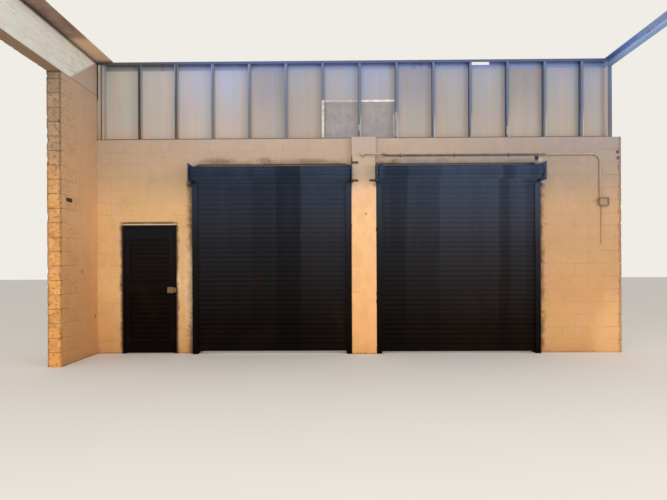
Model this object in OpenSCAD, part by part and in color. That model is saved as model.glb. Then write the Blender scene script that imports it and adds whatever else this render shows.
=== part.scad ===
// Factory shutter wall: a block wall with two roller shutters and a slatted door,
// a stud and sheet band above it, a wing wall with a concrete beam at the left,
// and a steel side beam at the right.
// X runs along the wall, Y away from the yard side, Z up. The origin is on the
// floor, on the centre line of the wall, in the middle of the pilaster.

/* [Block wall] */
// Height of one block course with its joint
course_h = 205; // [190:1:220]
// Number of courses in the wall
wall_courses = 17; // [16:1:20]
// Thickness of the block walls
wall_t = 200; // [140:5:250]
// Width of the wall panel between the wing wall and the door
left_panel_w = 419; // [300:1:700]
// Width of the wall between the door and the left shutter's opening
door_pier_w = 370; // [280:1:500]
// Width of the wall between the right shutter's opening and the free end
right_panel_w = 1420; // [1200:5:1800]
// Width of the pilaster
pilaster_w = 400; // [300:10:500]
// How far the pilaster stands out of the wall
pilaster_d = 100; // [60:5:140]

/* [Wing wall and beams] */
// Length of the wing wall in front of the block wall
wing_reach = 1000; // [600:10:1500]
// Height of the wing wall, which is the seat of the concrete beam
wing_h = 4205; // [4000:5:4400]
// Height of the concrete beam, whose top is level with the band's
beam_h = 550; // [450:5:700]
// Length of the concrete beam in front of the wing wall
beam_reach = 1350; // [800:10:2000]
// Overhang of the cover plate past the beam's inner face
plate_overhang = 250; // [100:5:300]
// Thickness of the cover plate
plate_t = 10; // [6:1:16]
// Height of the packing strip between the beam and its cover plate
packing_h = 25; // [10:1:40]
// How far that strip is set back from the beam's faces
packing_inset = 40; // [10:5:60]
// Width of the steel side beam
side_beam_w = 85; // [70:1:100]
// Depth of the steel side beam
side_beam_h = 150; // [100:5:180]
// Thickness of the side beam's flanges
side_beam_flange = 9; // [6:0.5:12]
// Thickness of the side beam's web
side_beam_web = 7; // [5:0.5:10]
// How far the side beam runs in front of the band
side_beam_l = 1700; // [1000:10:2400]
// How far the side beam stands above the band
side_beam_rise = 30; // [10:5:60]

/* [Stud band] */
// Distance of the tracks' front from the wall's face
band_setback = 8; // [0:1:40]
// Spacing of the studs
stud_pitch = 600; // [500:5:620]
// Distance of the first stud's centre from the wing wall
stud_first = 97; // [90:1:120]
// Width of a stud's flanges
stud_flange = 40; // [30:1:50]
// Depth of the tracks, over their legs
stud_depth = 92; // [70:1:100]
// Width of the lips on a stud's flanges
stud_lip = 10; // [5:1:15]
// Thickness of the stud and track steel
stud_t = 2; // [1.5:0.5:4]
// Height of the top track's front leg and the bottom track's rear leg
track_leg = 40; // [25:1:60]
// Height of the bottom track's front leg
sill_leg = 12; // [8:1:40]
// Height of the top track's rear leg
top_rear_leg = 110; // [60:5:140]
// Width of the end post
end_post_w = 80; // [60:1:100]
// Distance of the end post's outer side from the wall's right end
end_post_inset = 140; // [60:5:200]
// Width of the trim at the left end of the band
left_trim_w = 55; // [40:1:60]
// Gap between that trim and the wing wall
left_trim_gap = 10; // [5:1:14]
// Thickness of the back sheets
sheet_t = 3; // [2:0.5:6]
// Gap between neighbouring sheets, and above and below them
sheet_gap = 4; // [3:1:10]
// Height of the patch sheets
patch_h = 630; // [400:10:800]
// First bay that the patch covers, counted from the left stud
patch_first_bay = 6; // [1:1:9]
// Size of the notch in the top of one back sheet, along the wall
notch_w = 310; // [200:10:400]
// Height of that notch
notch_h = 50; // [30:5:90]
// Bay of the notch, counted from the left stud
notch_bay = 10; // [0:1:12]

/* [Roller shutters] */
// Width of the left shutter over its two guides
left_shutter_w = 2570; // [2300:10:3000]
// Width of the right shutter over its two guides
right_shutter_w = 2630; // [2300:10:3000]
// Courses from the floor to the head of the shutter openings
head_courses = 15; // [14:1:15]
// Width of a guide channel, along the wall
guide_w = 85; // [70:1:110]
// Depth of a guide channel, from the wall's face
guide_d = 75; // [60:1:90]
// Thickness of the guide channels
guide_t = 4; // [3:0.5:6]
// Width of the slot between a guide's two lips
guide_slot = 27; // [24:1:34]
// Height of one slat
slat_pitch = 77; // [70:1:90]
// Depth of a slat's curve
slat_bulge = 14; // [8:1:14]
// Thickness of the slat steel
slat_t = 2; // [1:0.5:3]
// Radius of the bead where two slats hook into each other
bead_r = 4.5; // [3:0.5:5]
// How far the curtain runs into each guide
curtain_engage = 60; // [45:1:65]
// Height of the bottom bar
bottom_bar_h = 60; // [40:1:80]
// Thickness of the bottom bar's web
bottom_bar_web = 8; // [6:1:12]
// Depth of the bottom bar's foot
bottom_bar_d = 46; // [30:1:50]
// Thickness of that foot
bottom_bar_foot = 6; // [4:1:10]
// Gap under the left shutter
gap_left = 50; // [20:1:80]
// Gap under the right shutter
gap_right = 38; // [20:1:80]
// Depth of the end plates, from the wall's face
end_plate_d = 310; // [290:5:340]
// Height of the end plates
end_plate_h = 290; // [280:5:340]
// Distance of the end plates' top below the head of the opening
end_plate_drop = 35; // [0:5:60]
// Thickness of the end plates
end_plate_t = 6; // [4:1:10]
// Width of the flange that holds an end plate on the wall
plate_flange_w = 57; // [40:1:75]
// How far the right shutter's outer flange stands above the head of the opening
flange_rise = 105; // [0:5:105]
// Number of slats that stay rolled up on the barrel
coil_slats = 14; // [8:1:15]
// Radius of the barrel
barrel_r = 76; // [60:1:78]
// Thickness of the barrel tube
barrel_t = 5; // [3:0.5:8]
// Radius of the barrel's shaft
shaft_r = 16; // [12:1:20]
// Radius of the bearing bosses on the end plates
boss_r = 30; // [26:1:40]
// How far a bearing boss stands out of its end plate
boss_l = 12; // [8:1:20]
// Length of a lug of an end plate on the pilaster's face
lug_l = 112; // [80:1:140]
// Height of a lug
lug_h = 30; // [20:1:40]
// Thickness of a lug
lug_t = 6; // [4:1:8]

/* [Door] */
// Width of the door leaf
leaf_w = 802; // [700:1:950]
// Height of the door leaf
leaf_h = 2031; // [1950:1:2200]
// Thickness of the door leaf's frame
leaf_t = 40; // [30:1:50]
// Gap under the door leaf
leaf_floor_gap = 12; // [8:1:20]
// Gap between the leaf and its frame
leaf_gap = 7; // [6:0.5:10]
// Width of the leaf's stiles
stile_w = 75; // [60:1:90]
// Height of the leaf's top rail
top_rail_h = 180; // [80:5:250]
// Height of the leaf's bottom rail
bottom_rail_h = 110; // [80:5:200]
// Height of the leaf's middle rail
mid_rail_h = 143; // [80:1:180]
// Height of the middle rail's lower edge above the floor
mid_rail_z = 985; // [900:1:1100]
// Width of the frame beside the leaf
jamb_w = 30; // [24:1:40]
// Width of the frame over the leaf
head_w = 45; // [30:1:70]
// Depth of the frame, into the wall
jamb_d = 70; // [60:1:90]
// How far the frame's stop stands in behind the leaf
stop_w = 18; // [10:1:24]
// Radius of the hinge barrels
hinge_r = 9; // [7:0.5:12]
// Height of one hinge with both halves
hinge_h = 120; // [80:5:150]
// Width of a hinge flap, from the pin's axis
hinge_flap_w = 28; // [20:1:30]
// Thickness of a hinge flap
hinge_flap_t = 3; // [2:0.5:5]
// Distance of the top and bottom hinges from the leaf's ends
hinge_inset = 250; // [150:5:350]
// Radius of the hinge pins
pin_r = 5; // [4:0.5:6]
// Length of the lock case on the leaf
lock_l = 105; // [80:1:140]
// Height of the lock case
lock_h = 96; // [60:1:110]
// Thickness of the lock case
lock_t = 25; // [15:1:35]
// Height of the lock case above the middle rail's lower edge
lock_rise = 3; // [0:1:40]
// Height of the keep on the frame
keep_h = 76; // [50:1:90]
// Thickness of the keep
keep_t = 20; // [10:1:30]
// Radius of the lock's cylinder
cylinder_r = 11; // [8:1:14]

/* [Services] */
// Radius of the conduit
conduit_r = 15; // [8:0.5:18]
// Height of the conduit above the floor
conduit_z = 3205; // [3200:5:3260]
// Radius of the conduit's bends, on its centre line
conduit_bend = 130; // [80:5:180]
// Distance of the conduit's drop from the wall's right end
conduit_drop = 350; // [250:5:450]
// Width of the switch box
box_w = 145; // [100:5:180]
// Height of the switch box
box_h = 126; // [100:2:180]
// Depth of the switch box
box_d = 60; // [40:2:90]
// Height of the switch box's middle above the floor
box_z = 2435; // [2300:5:2600]
// Radius of the thin pipe under the box
drop_r = 8; // [6:0.5:12]
// Length of the thin pipe under the box
drop_l = 610; // [300:10:800]
// Radius of the knob at the end of the thin pipe
knob_r = 12; // [9:1:20]
// Distance of the first conduit clip from the centre line
clip_first = 600; // [480:5:900]
// Spacing of the clips along the wall
clip_pitch = 875; // [500:5:1000]
// Distance of the drop's clips from its two ends
clip_end = 120; // [60:5:200]
// Width of a clip
clip_w = 20; // [12:1:30]
// Thickness of a clip
clip_t = 2; // [1:0.5:4]
// Length of a clip's feet
clip_foot = 20; // [14:1:30]
// Radius of the two bends where the conduit leaves the pilaster
conduit_set_r = 80; // [50:5:90]
// Angle of those bends
conduit_set_angle = 30; // [25:1:45]

/* [Hidden] */
$fn = 48;
front = -wall_t/2;
back = wall_t/2;
seat_slack = 0.3;
cut = 1;

// Outward from the centre line to both ends of the wall
pier_half = pilaster_w/2 + guide_w;
shutter_in = pilaster_w/2;
opening_in = shutter_in + guide_w;
function opening_out(w) = shutter_in + w - guide_w;
door_open_r = -opening_out(left_shutter_w) - door_pier_w;
leaf_right = door_open_r - jamb_w - leaf_gap;
leaf_left = leaf_right - leaf_w;
door_open_l = leaf_left - leaf_gap - jamb_w;
wall_left = left_panel_w - door_open_l;
wall_right = opening_out(right_shutter_w) + right_panel_w;
wing_out = -wall_left - wall_t;
pilaster_face = front - pilaster_d;

wall_h = wall_courses*course_h;
head_z = head_courses*course_h;
band_z = wall_h;
band_top = wing_h + beam_h;
band_h = band_top - band_z;
band_front = front + band_setback;
band_back = band_front + stud_depth;
sheet_front = band_back + seat_slack;
end_post_x = wall_right - end_post_inset - end_post_w;
stud_x0 = -wall_left + stud_first;
stud_count = floor((end_post_x - stud_x0 - stud_flange/2)/stud_pitch) + 1;
side_beam_z = band_top + side_beam_rise - side_beam_h;

curtain_y = front - guide_d/2;
slat_y = curtain_y - slat_bulge/2;
curtain_in = opening_in - curtain_engage;
function curtain_out(w) = opening_out(w) + curtain_engage;
end_plate_z = head_z - end_plate_drop - end_plate_h;
guide_top = end_plate_z;
coil_y = front - end_plate_d/2;
coil_z = end_plate_z + end_plate_h/2;
coil_start_r = slat_y - coil_y;
bead_step = 40;
coil_end_r = barrel_r + bead_r*cos(bead_step/2) + seat_slack;
slat_steps = 6;
slat_lap = 0.08;
bearing_slack = 0.25;
foot_gap = 5;

door_open_top = leaf_floor_gap + leaf_h + leaf_gap + head_w;
leaf_front = front;
leaf_back = leaf_front + leaf_t;
hinge_x = leaf_left - leaf_gap/2;
hinge_y = front - hinge_r - hinge_flap_t;
hinge_zs = [leaf_floor_gap + hinge_inset,
            leaf_floor_gap + leaf_h/2 + hinge_h/2,
            leaf_floor_gap + leaf_h - hinge_inset];
hinge_slack = 0.3;
pin_slack = 0.1;
pin_short = 6;

conduit_x1 = wall_right - conduit_drop;
conduit_y = front - conduit_r;
conduit_start = -20;
box_side = 22;
set_straight = (pilaster_d - 2*conduit_set_r*(1 - cos(conduit_set_angle)))/sin(conduit_set_angle);
set_run = 2*conduit_set_r*sin(conduit_set_angle) + set_straight*cos(conduit_set_angle);
drop_top = conduit_z - conduit_bend;
box_top = box_z + box_h/2;

// Box between two corners
module span(a, b) {
  translate(a) cube(b - a);
}

// One stretch of plain block wall
module masonry(x0, x1, z0, z1) {
  span([x0, front, z0], [x1, back, z1]);
}

module wall_left_end() {
  color("linen") masonry(-wall_left, door_open_l, 0, head_z);
}

module wall_over_door() {
  color("linen") masonry(door_open_l, door_open_r, door_open_top, head_z);
}

module door_pier() {
  color("linen") masonry(door_open_r, -opening_out(left_shutter_w), 0, head_z);
}

module centre_pier() {
  color("linen") masonry(-pier_half, pier_half, 0, head_z);
}

module pilaster() {
  color("linen") span([-pilaster_w/2, pilaster_face, 0], [pilaster_w/2, front, wall_h]);
}

module wall_right() {
  color("linen") masonry(opening_out(right_shutter_w), wall_right, 0, head_z);
}

module lintel_course() {
  color("linen") masonry(-wall_left, wall_right, head_z, head_z + course_h);
}

module top_course() {
  color("linen") masonry(-wall_left, wall_right, head_z + course_h, wall_h);
}

module wing_wall() {
  color("linen") span([wing_out, front - wing_reach, 0], [-wall_left, back, wing_h]);
}

module concrete_beam() {
  color("linen")
    span([wing_out, front - wing_reach - beam_reach, wing_h], [-wall_left, back, band_top]);
}

// Strip that lifts the cover plate off the beam
module plate_packing() {
  color("dimgray")
    span([wing_out + packing_inset, front - wing_reach - beam_reach, band_top],
         [-wall_left - packing_inset, back, band_top + packing_h]);
}

module beam_plate() {
  color("sienna")
    span([wing_out, front - wing_reach - beam_reach, band_top + packing_h],
         [-wall_left + plate_overhang, back, band_top + packing_h + plate_t]);
}

// Steel channel with its web on the outer side
module side_beam() {
  length = side_beam_l + stud_depth;
  color("slategray")
    translate([end_post_x, band_back - length, side_beam_z])
      difference() {
        cube([side_beam_w, length, side_beam_h]);
        translate([-cut, -cut, side_beam_flange])
          cube([side_beam_w - side_beam_web + cut, length + 2*cut, side_beam_h - 2*side_beam_flange]);
      }
}

module bottom_track() {
  color("lightsteelblue") {
    span([-wall_left, band_front, band_z], [end_post_x, band_back, band_z + stud_t]);
    for (leg = [[band_front, sill_leg], [band_back - stud_t, track_leg]])
      span([-wall_left, leg[0], band_z], [end_post_x, leg[0] + stud_t, band_z + leg[1]]);
  }
}

// Piece that is broken out at the top of one bay
module notch() {
  x0 = stud_x0 + notch_bay*stud_pitch + stud_flange/2;
  span([x0, band_back - 2*stud_t, band_top - stud_t - notch_h],
       [x0 + notch_w, sheet_front + sheet_t + cut, band_top - stud_t]);
}

module top_track() {
  color("lightsteelblue") {
    span([-wall_left, band_front, band_top - stud_t], [end_post_x, band_back, band_top]);
    span([-wall_left, band_front, band_top - track_leg], [end_post_x, band_front + stud_t, band_top]);
    difference() {
      span([-wall_left, band_back - stud_t, band_top - top_rear_leg], [end_post_x, band_back, band_top]);
      notch();
    }
  }
}

// Channel stud with lips, its web on the right
module stud(h) {
  d = stud_depth - 2*stud_t;
  difference() {
    cube([stud_flange, d, h]);
    translate([stud_t, stud_t, -cut])
      cube([stud_flange - 2*stud_t, d - 2*stud_t, h + 2*cut]);
    translate([-cut, stud_lip, -cut])
      cube([stud_flange - stud_t + cut, d - 2*stud_lip, h + 2*cut]);
  }
}

module studs() {
  color("lightsteelblue")
    for (i = [0 : stud_count - 1])
      translate([stud_x0 + i*stud_pitch - stud_flange/2, band_front + stud_t, band_z + stud_t])
        stud(band_h - 2*stud_t);
}

module end_post() {
  color("lightsteelblue")
    span([end_post_x, band_front, band_z], [end_post_x + end_post_w, band_back, side_beam_z]);
}

// Angle that closes the band against the wing wall
module left_trim() {
  x0 = -wall_left + left_trim_gap;
  y0 = band_front + stud_t;
  color("whitesmoke") {
    span([x0, y0, band_z + stud_t], [x0 + left_trim_w, y0 + stud_t, band_top - stud_t]);
    span([x0, y0, band_z + stud_t], [x0 + stud_t, y0 + stud_flange, band_top - stud_t]);
  }
}

module back_sheets() {
  color("gainsboro")
    for (i = [0 : 2 : stud_count])
      let (x0 = i == 0 ? -wall_left : stud_x0 + (i - 1)*stud_pitch + sheet_gap/2,
           x1 = min(stud_x0 + (i + 1)*stud_pitch - sheet_gap/2, end_post_x + end_post_w))
        difference() {
          span([x0, sheet_front, band_z], [x1, sheet_front + sheet_t, band_top]);
          notch();
        }
}

module patch_sheets() {
  color("darkgray")
    for (i = [0 : 1])
      let (x0 = stud_x0 + (patch_first_bay + i)*stud_pitch + stud_flange/2)
        span([x0, band_back - stud_t - sheet_t, band_z + stud_t],
             [x0 + stud_pitch - stud_flange, band_back - stud_t, band_z + patch_h]);
}

// Point at share s of the way from a to b, then d to the right of it
function beside(a, b, s, d) = let (u = (b - a)/norm(b - a)) a + (b - a)*s + [u[1], -u[0]]*d;

// One face of the slat between joints a and b; d shifts it off the slat's middle line
function slat_face(a, b, d) = [
  for (i = [0 : slat_steps])
    beside(a, b, slat_lap + (1 - 2*slat_lap)*i/slat_steps, slat_bulge*sin(180*i/slat_steps) + d)
];

// One half of the bead at joint b, between the joints before and after it
function bead_half(a, b, c, side) = let (u = (c - a)/norm(c - a)) [
  for (w = [-1.5*bead_step : bead_step : 1.5*bead_step]) b + bead_r*(u*sin(w) + side*cos(w)*[u[1], -u[0]])
];

// One side of a sheet of slats that hook into each other at the given joints
function slat_side(joints, side) = let (n = len(joints) - 1, d = side*slat_t/2) [
  joints[0] + [d, 0],
  for (k = [0 : n - 1]) each concat(
    slat_face(joints[k], joints[k + 1], d),
    k < n - 1 ? bead_half(joints[k], joints[k + 1], joints[k + 2], side) : []),
  beside(joints[n - 1], joints[n], 1, d)
];

// Sheet of slats from x0 to x1, through joints given as points across the wall and up
module slat_sheet(joints, x0, x1) {
  far_side = slat_side(joints, 1);
  near_side = slat_side(joints, -1);
  translate([x0, 0, 0])
    rotate([90, 0, 90])
      linear_extrude(x1 - x0)
        polygon(concat(far_side, [for (k = [len(near_side) - 1 : -1 : 0]) near_side[k]]));
}

// Joints of upright slats at y, from z0 to z1, as many as fit best
function upright_joints(y, z0, z1) = let (n = round((z1 - z0)/slat_pitch)) [
  for (k = [0 : n]) [y, z0 + k*(z1 - z0)/n]
];

// Joints of the slats that are rolled up on the barrel, which start behind it
// level with its axis and run over its top, until the last slat lies along it
function coil_r(k) =
  let (rolled = coil_slats - 1) coil_start_r + (coil_end_r - coil_start_r)*min(k, rolled)/rolled;
function coil_angle(k) = k == 0 ? 0 : coil_angle(k - 1) + 2*asin(slat_pitch/(2*coil_r(k - 1)));
function coil_joints() = [
  for (k = [0 : coil_slats]) [coil_y, coil_z] + coil_r(k)*[cos(coil_angle(k)), sin(coil_angle(k))]
];

// Shutter pieces, for a shutter of width w to the right of the pilaster
module shutter_curtain(w, gap) {
  color("midnightblue")
    slat_sheet(upright_joints(slat_y, gap + bottom_bar_h, coil_z), curtain_in, curtain_out(w));
}

module shutter_coil(w) {
  color("midnightblue") slat_sheet(coil_joints(), curtain_in, curtain_out(w));
}

// Bar at the curtain's lower edge: its web runs in the guides, its foot between them
module shutter_bottom_bar(w, gap) {
  color("black") {
    span([curtain_in, slat_y - bottom_bar_web/2, gap],
         [curtain_out(w), slat_y + bottom_bar_web/2, gap + bottom_bar_h]);
    span([opening_in + foot_gap, slat_y - bottom_bar_d/2, gap],
         [opening_out(w) - foot_gap, slat_y + bottom_bar_d/2, gap + bottom_bar_foot]);
  }
}

// Channel with lips, open on the right
module guide() {
  inside = guide_d - 2*guide_t;
  difference() {
    cube([guide_w, guide_d, guide_top]);
    translate([guide_t, guide_t, -cut])
      cube([guide_w - 2*guide_t, inside, guide_top + 2*cut]);
    translate([guide_t, (guide_d - guide_slot)/2, -cut])
      cube([guide_w, guide_slot, guide_top + 2*cut]);
  }
}

module shutter_guides(w) {
  color("black") {
    translate([shutter_in, front - guide_d, 0]) guide();
    translate([shutter_in + w, front - guide_d, 0]) mirror([1, 0, 0]) guide();
  }
}

// Plate beside the coil, with a wall flange of height h turned to the right and a
// bearing boss on the other side
module end_bracket(h) {
  difference() {
    union() {
      translate([0, front - end_plate_d, end_plate_z]) cube([end_plate_t, end_plate_d, end_plate_h]);
      translate([0, front - end_plate_t, end_plate_z])
        cube([plate_flange_w, end_plate_t, h]);
      translate([-boss_l, coil_y, coil_z]) rotate([0, 90, 0]) cylinder(r = boss_r, h = boss_l);
    }
    translate([-boss_l - cut, coil_y, coil_z])
      rotate([0, 90, 0]) cylinder(r = shaft_r + bearing_slack, h = boss_l + end_plate_t + 2*cut);
  }
}

module shutter_end_plates(w, outer_flange_h) {
  color("black") {
    translate([shutter_in, 0, 0]) end_bracket(end_plate_h);
    translate([shutter_in + w, 0, 0]) mirror([1, 0, 0]) end_bracket(outer_flange_h);
  }
}

// Tube with a disc at each end, on a shaft that runs through both bearings
module shutter_barrel(w) {
  along_x = [0, 90, 0];
  length = curtain_out(w) - curtain_in;
  color("dimgray") {
    translate([curtain_in, coil_y, coil_z])
      difference() {
        rotate(along_x) cylinder(r = barrel_r, h = length);
        translate([2*barrel_t, 0, 0])
          rotate(along_x) cylinder(r = barrel_r - barrel_t, h = length - 4*barrel_t);
      }
    for (x = [[shutter_in - boss_l, curtain_in], [curtain_in + length, shutter_in + w + boss_l]])
      translate([x[0], coil_y, coil_z]) rotate(along_x) cylinder(r = shaft_r, h = x[1] - x[0]);
  }
}

module left_curtain() { mirror([1, 0, 0]) shutter_curtain(left_shutter_w, gap_left); }
module left_bottom_bar() { mirror([1, 0, 0]) shutter_bottom_bar(left_shutter_w, gap_left); }
module left_guides() { mirror([1, 0, 0]) shutter_guides(left_shutter_w); }
module left_end_plates() { mirror([1, 0, 0]) shutter_end_plates(left_shutter_w, end_plate_h); }
module left_coil() { mirror([1, 0, 0]) shutter_coil(left_shutter_w); }
module left_barrel() { mirror([1, 0, 0]) shutter_barrel(left_shutter_w); }
module right_curtain() { shutter_curtain(right_shutter_w, gap_right); }
module right_bottom_bar() { shutter_bottom_bar(right_shutter_w, gap_right); }
module right_guides() { shutter_guides(right_shutter_w); }
module right_end_plates() { shutter_end_plates(right_shutter_w, head_z + flange_rise - end_plate_z); }
module right_coil() { shutter_coil(right_shutter_w); }
module right_barrel() { shutter_barrel(right_shutter_w); }

// Lugs of the inner end plates, turned over on the pilaster's face
module shutter_lugs() {
  low_z = end_plate_z + lug_h*2/3;
  color("black") {
    for (z = [head_z - lug_h/2, low_z])
      span([-pilaster_w/2, pilaster_face - lug_t, z], [-pilaster_w/2 + lug_l, pilaster_face, z + lug_h]);
    span([pilaster_w/2 - lug_l, pilaster_face - lug_t, low_z],
         [pilaster_w/2, pilaster_face, low_z + lug_h]);
  }
}

// Frame with a rebate for the leaf and a stop behind it
module door_frame() {
  color("black")
    difference() {
      span([door_open_l, front, 0], [door_open_r, front + jamb_d, door_open_top]);
      span([leaf_left - leaf_gap, front - cut, -cut],
           [leaf_right + leaf_gap, leaf_back + leaf_gap, leaf_floor_gap + leaf_h + leaf_gap]);
      span([leaf_left + stop_w, front - cut, -cut],
           [leaf_right - stop_w, front + jamb_d + cut, leaf_floor_gap + leaf_h - stop_w]);
    }
}

// Stiles and rails of the leaf
module door_leaf() {
  z0 = leaf_floor_gap;
  z1 = leaf_floor_gap + leaf_h;
  color("black") {
    for (x = [leaf_left, leaf_right - stile_w])
      span([x, leaf_front, z0], [x + stile_w, leaf_back, z1]);
    for (r = [[z0, z0 + bottom_rail_h], [mid_rail_z, mid_rail_z + mid_rail_h], [z1 - top_rail_h, z1]])
      span([leaf_left + stile_w, leaf_front, r[0]], [leaf_right - stile_w, leaf_back, r[1]]);
  }
}

module door_slats() {
  y = leaf_front + (leaf_t - slat_bulge)/2;
  color("midnightblue") {
    slat_sheet(upright_joints(y, leaf_floor_gap + bottom_rail_h, mid_rail_z),
               leaf_left + stile_w, leaf_right - stile_w);
    slat_sheet(upright_joints(y, mid_rail_z + mid_rail_h, leaf_floor_gap + leaf_h - top_rail_h),
               leaf_left + stile_w, leaf_right - stile_w);
  }
}

// Hinge half: a barrel and a flap, to the right of the pin where dir is 1
module hinge_half(dir, bore) {
  h = hinge_h/2 - hinge_slack;
  difference() {
    union() {
      cylinder(r = hinge_r, h = h);
      translate([dir > 0 ? 0 : -hinge_flap_w, hinge_r, 0])
        cube([hinge_flap_w, hinge_flap_t, h]);
      translate([dir > 0 ? 0 : -hinge_r, 0, 0])
        cube([hinge_r, hinge_r, h]);
    }
    if (bore) translate([0, 0, -cut]) cylinder(r = pin_r + pin_slack, h = h + 2*cut);
  }
}

module hinge_lower_halves() {
  color("dimgray")
    for (z = hinge_zs)
      translate([hinge_x, hinge_y, z - hinge_h/2]) {
        hinge_half(-1, false);
        cylinder(r = pin_r, h = hinge_h - pin_short);
      }
}

module hinge_upper_halves() {
  color("dimgray")
    for (z = hinge_zs)
      translate([hinge_x, hinge_y, z]) hinge_half(1, true);
}

// Rim lock's case with its round cylinder
module lock_plate() {
  z0 = mid_rail_z + lock_rise;
  color("tan") {
    span([leaf_right - lock_l, leaf_front - lock_t, z0], [leaf_right, leaf_front, z0 + lock_h]);
    translate([leaf_right - lock_l/3, leaf_front - lock_t, z0 + lock_h/2])
      rotate([90, 0, 0]) cylinder(r = cylinder_r, h = cylinder_r/2);
  }
}

// Keep on the frame, beside the lock case
module lock_keep() {
  z0 = mid_rail_z + lock_rise + (lock_h - keep_h)/2;
  color("tan")
    span([leaf_right + leaf_gap, front - keep_t, z0], [door_open_r, front, z0 + keep_h]);
}

// Bend of the conduit in the XZ plane, from running along X to running down
module drop_bend() {
  rotate([90, 0, 0])
    rotate_extrude(angle = 90)
      translate([conduit_bend, 0]) circle(r = conduit_r);
}

// Set of the conduit from the pilaster's face back to the wall's face: two bends
// with a straight stretch between them, starting at the origin along X
module conduit_set_back() {
  r = conduit_set_r;
  a = conduit_set_angle;
  mid = [r*sin(a), r*(1 - cos(a))];
  translate([0, r, 0]) rotate([0, 0, -90])
    rotate_extrude(angle = a) translate([r, 0]) circle(r = conduit_r);
  translate([mid[0], mid[1], 0]) rotate([0, 0, a]) {
    rotate([0, 90, 0]) cylinder(r = conduit_r, h = set_straight);
    translate([set_straight, -r, 0]) rotate([0, 0, 90 - a])
      rotate_extrude(angle = a) translate([r, 0]) circle(r = conduit_r);
  }
}

module conduit() {
  on_pilaster = pilaster_face - conduit_r;
  set_x0 = pilaster_w/2 + conduit_r;
  set_x1 = set_x0 + set_run;
  color("wheat") {
    translate([conduit_start, pilaster_face, conduit_z])
      rotate([90, 0, 0]) cylinder(r = 2*conduit_r, h = 3*conduit_r);
    translate([conduit_start, on_pilaster, conduit_z])
      rotate([0, 90, 0]) cylinder(r = conduit_r, h = set_x0 - conduit_start);
    translate([set_x0, on_pilaster, conduit_z]) conduit_set_back();
    translate([set_x1, conduit_y, conduit_z])
      rotate([0, 90, 0]) cylinder(r = conduit_r, h = conduit_x1 - conduit_bend - set_x1);
    translate([conduit_x1 - conduit_bend, conduit_y, drop_top]) drop_bend();
    translate([conduit_x1, conduit_y, box_top]) cylinder(r = conduit_r, h = drop_top - box_top);
  }
}

// Saddle over a pipe that runs up from the origin, its feet on the wall behind
module saddle() {
  bore_r = conduit_r + seat_slack;
  reach = bore_r + clip_foot;
  difference() {
    union() {
      cylinder(r = bore_r + clip_t, h = clip_w);
      translate([-bore_r - clip_t, 0, 0]) cube([2*(bore_r + clip_t), conduit_r, clip_w]);
      translate([-reach, conduit_r - clip_t, 0]) cube([2*reach, clip_t, clip_w]);
    }
    translate([0, 0, -cut]) cylinder(r = bore_r, h = clip_w + 2*cut);
    translate([-bore_r, 0, -cut]) cube([2*bore_r, conduit_r + cut, clip_w + 2*cut]);
    translate([-reach, conduit_r, -cut]) cube([2*reach, conduit_r, clip_w + 2*cut]);
  }
}

module conduit_clips() {
  color("wheat") {
    for (x = [clip_first : clip_pitch : conduit_x1 - conduit_bend - clip_w])
      translate([x - clip_w/2, conduit_y, conduit_z]) rotate([0, 90, 0]) saddle();
    for (z = [box_top + clip_end, drop_top - clip_end])
      translate([conduit_x1, conduit_y, z - clip_w/2]) saddle();
  }
}

module switch_box() {
  color("white")
    span([conduit_x1 - box_side, front - box_d, box_z - box_h/2],
         [conduit_x1 - box_side + box_w, front, box_top]);
}

module drop_pipe() {
  color("wheat")
    translate([conduit_x1 + box_side, front - knob_r, box_z - box_h/2 - drop_l]) {
      cylinder(r = drop_r, h = drop_l);
      cylinder(r = knob_r, h = 2.5*knob_r);
    }
}

wall_left_end();
wall_over_door();
door_pier();
centre_pier();
pilaster();
wall_right();
lintel_course();
top_course();
wing_wall();
concrete_beam();
plate_packing();
beam_plate();
side_beam();
bottom_track();
top_track();
studs();
end_post();
left_trim();
back_sheets();
patch_sheets();
left_curtain();
left_bottom_bar();
left_guides();
left_end_plates();
left_coil();
left_barrel();
right_curtain();
right_bottom_bar();
right_guides();
right_end_plates();
right_coil();
right_barrel();
shutter_lugs();
door_frame();
door_leaf();
door_slats();
hinge_lower_halves();
hinge_upper_halves();
lock_plate();
lock_keep();
conduit();
conduit_clips();
switch_box();
drop_pipe();
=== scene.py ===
"""Looks of a factory shutter wall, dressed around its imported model.

Lengths are in metres. X runs along the wall, Y away from the shutter side and Z up, with the
origin on the floor in the middle of the pilaster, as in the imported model.
"""

import logging
import math
from dataclasses import dataclass, field, replace
from enum import Enum
from typing import Any, Callable, ClassVar, Iterable, Sequence

import bmesh
import bpy
from mathutils import Matrix, Vector, noise


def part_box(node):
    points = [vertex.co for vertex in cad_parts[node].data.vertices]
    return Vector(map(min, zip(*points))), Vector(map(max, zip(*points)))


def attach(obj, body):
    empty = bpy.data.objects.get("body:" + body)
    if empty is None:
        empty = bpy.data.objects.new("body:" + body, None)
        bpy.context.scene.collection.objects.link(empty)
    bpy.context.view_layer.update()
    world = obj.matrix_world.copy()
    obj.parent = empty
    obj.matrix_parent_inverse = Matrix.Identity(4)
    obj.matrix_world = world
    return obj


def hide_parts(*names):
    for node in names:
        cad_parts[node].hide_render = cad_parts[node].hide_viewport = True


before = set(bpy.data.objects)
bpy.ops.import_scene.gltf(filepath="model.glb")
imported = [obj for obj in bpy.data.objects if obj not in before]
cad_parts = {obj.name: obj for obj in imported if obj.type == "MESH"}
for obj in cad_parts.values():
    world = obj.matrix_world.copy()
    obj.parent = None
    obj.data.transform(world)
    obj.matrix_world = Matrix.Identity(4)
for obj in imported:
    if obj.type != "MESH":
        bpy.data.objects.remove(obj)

log = logging.getLogger("shutter_wall")
WALL = "wall"
DOOR = "door"
SAME_PLACE = 0.001
Colour = tuple[float, float, float]
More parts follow.
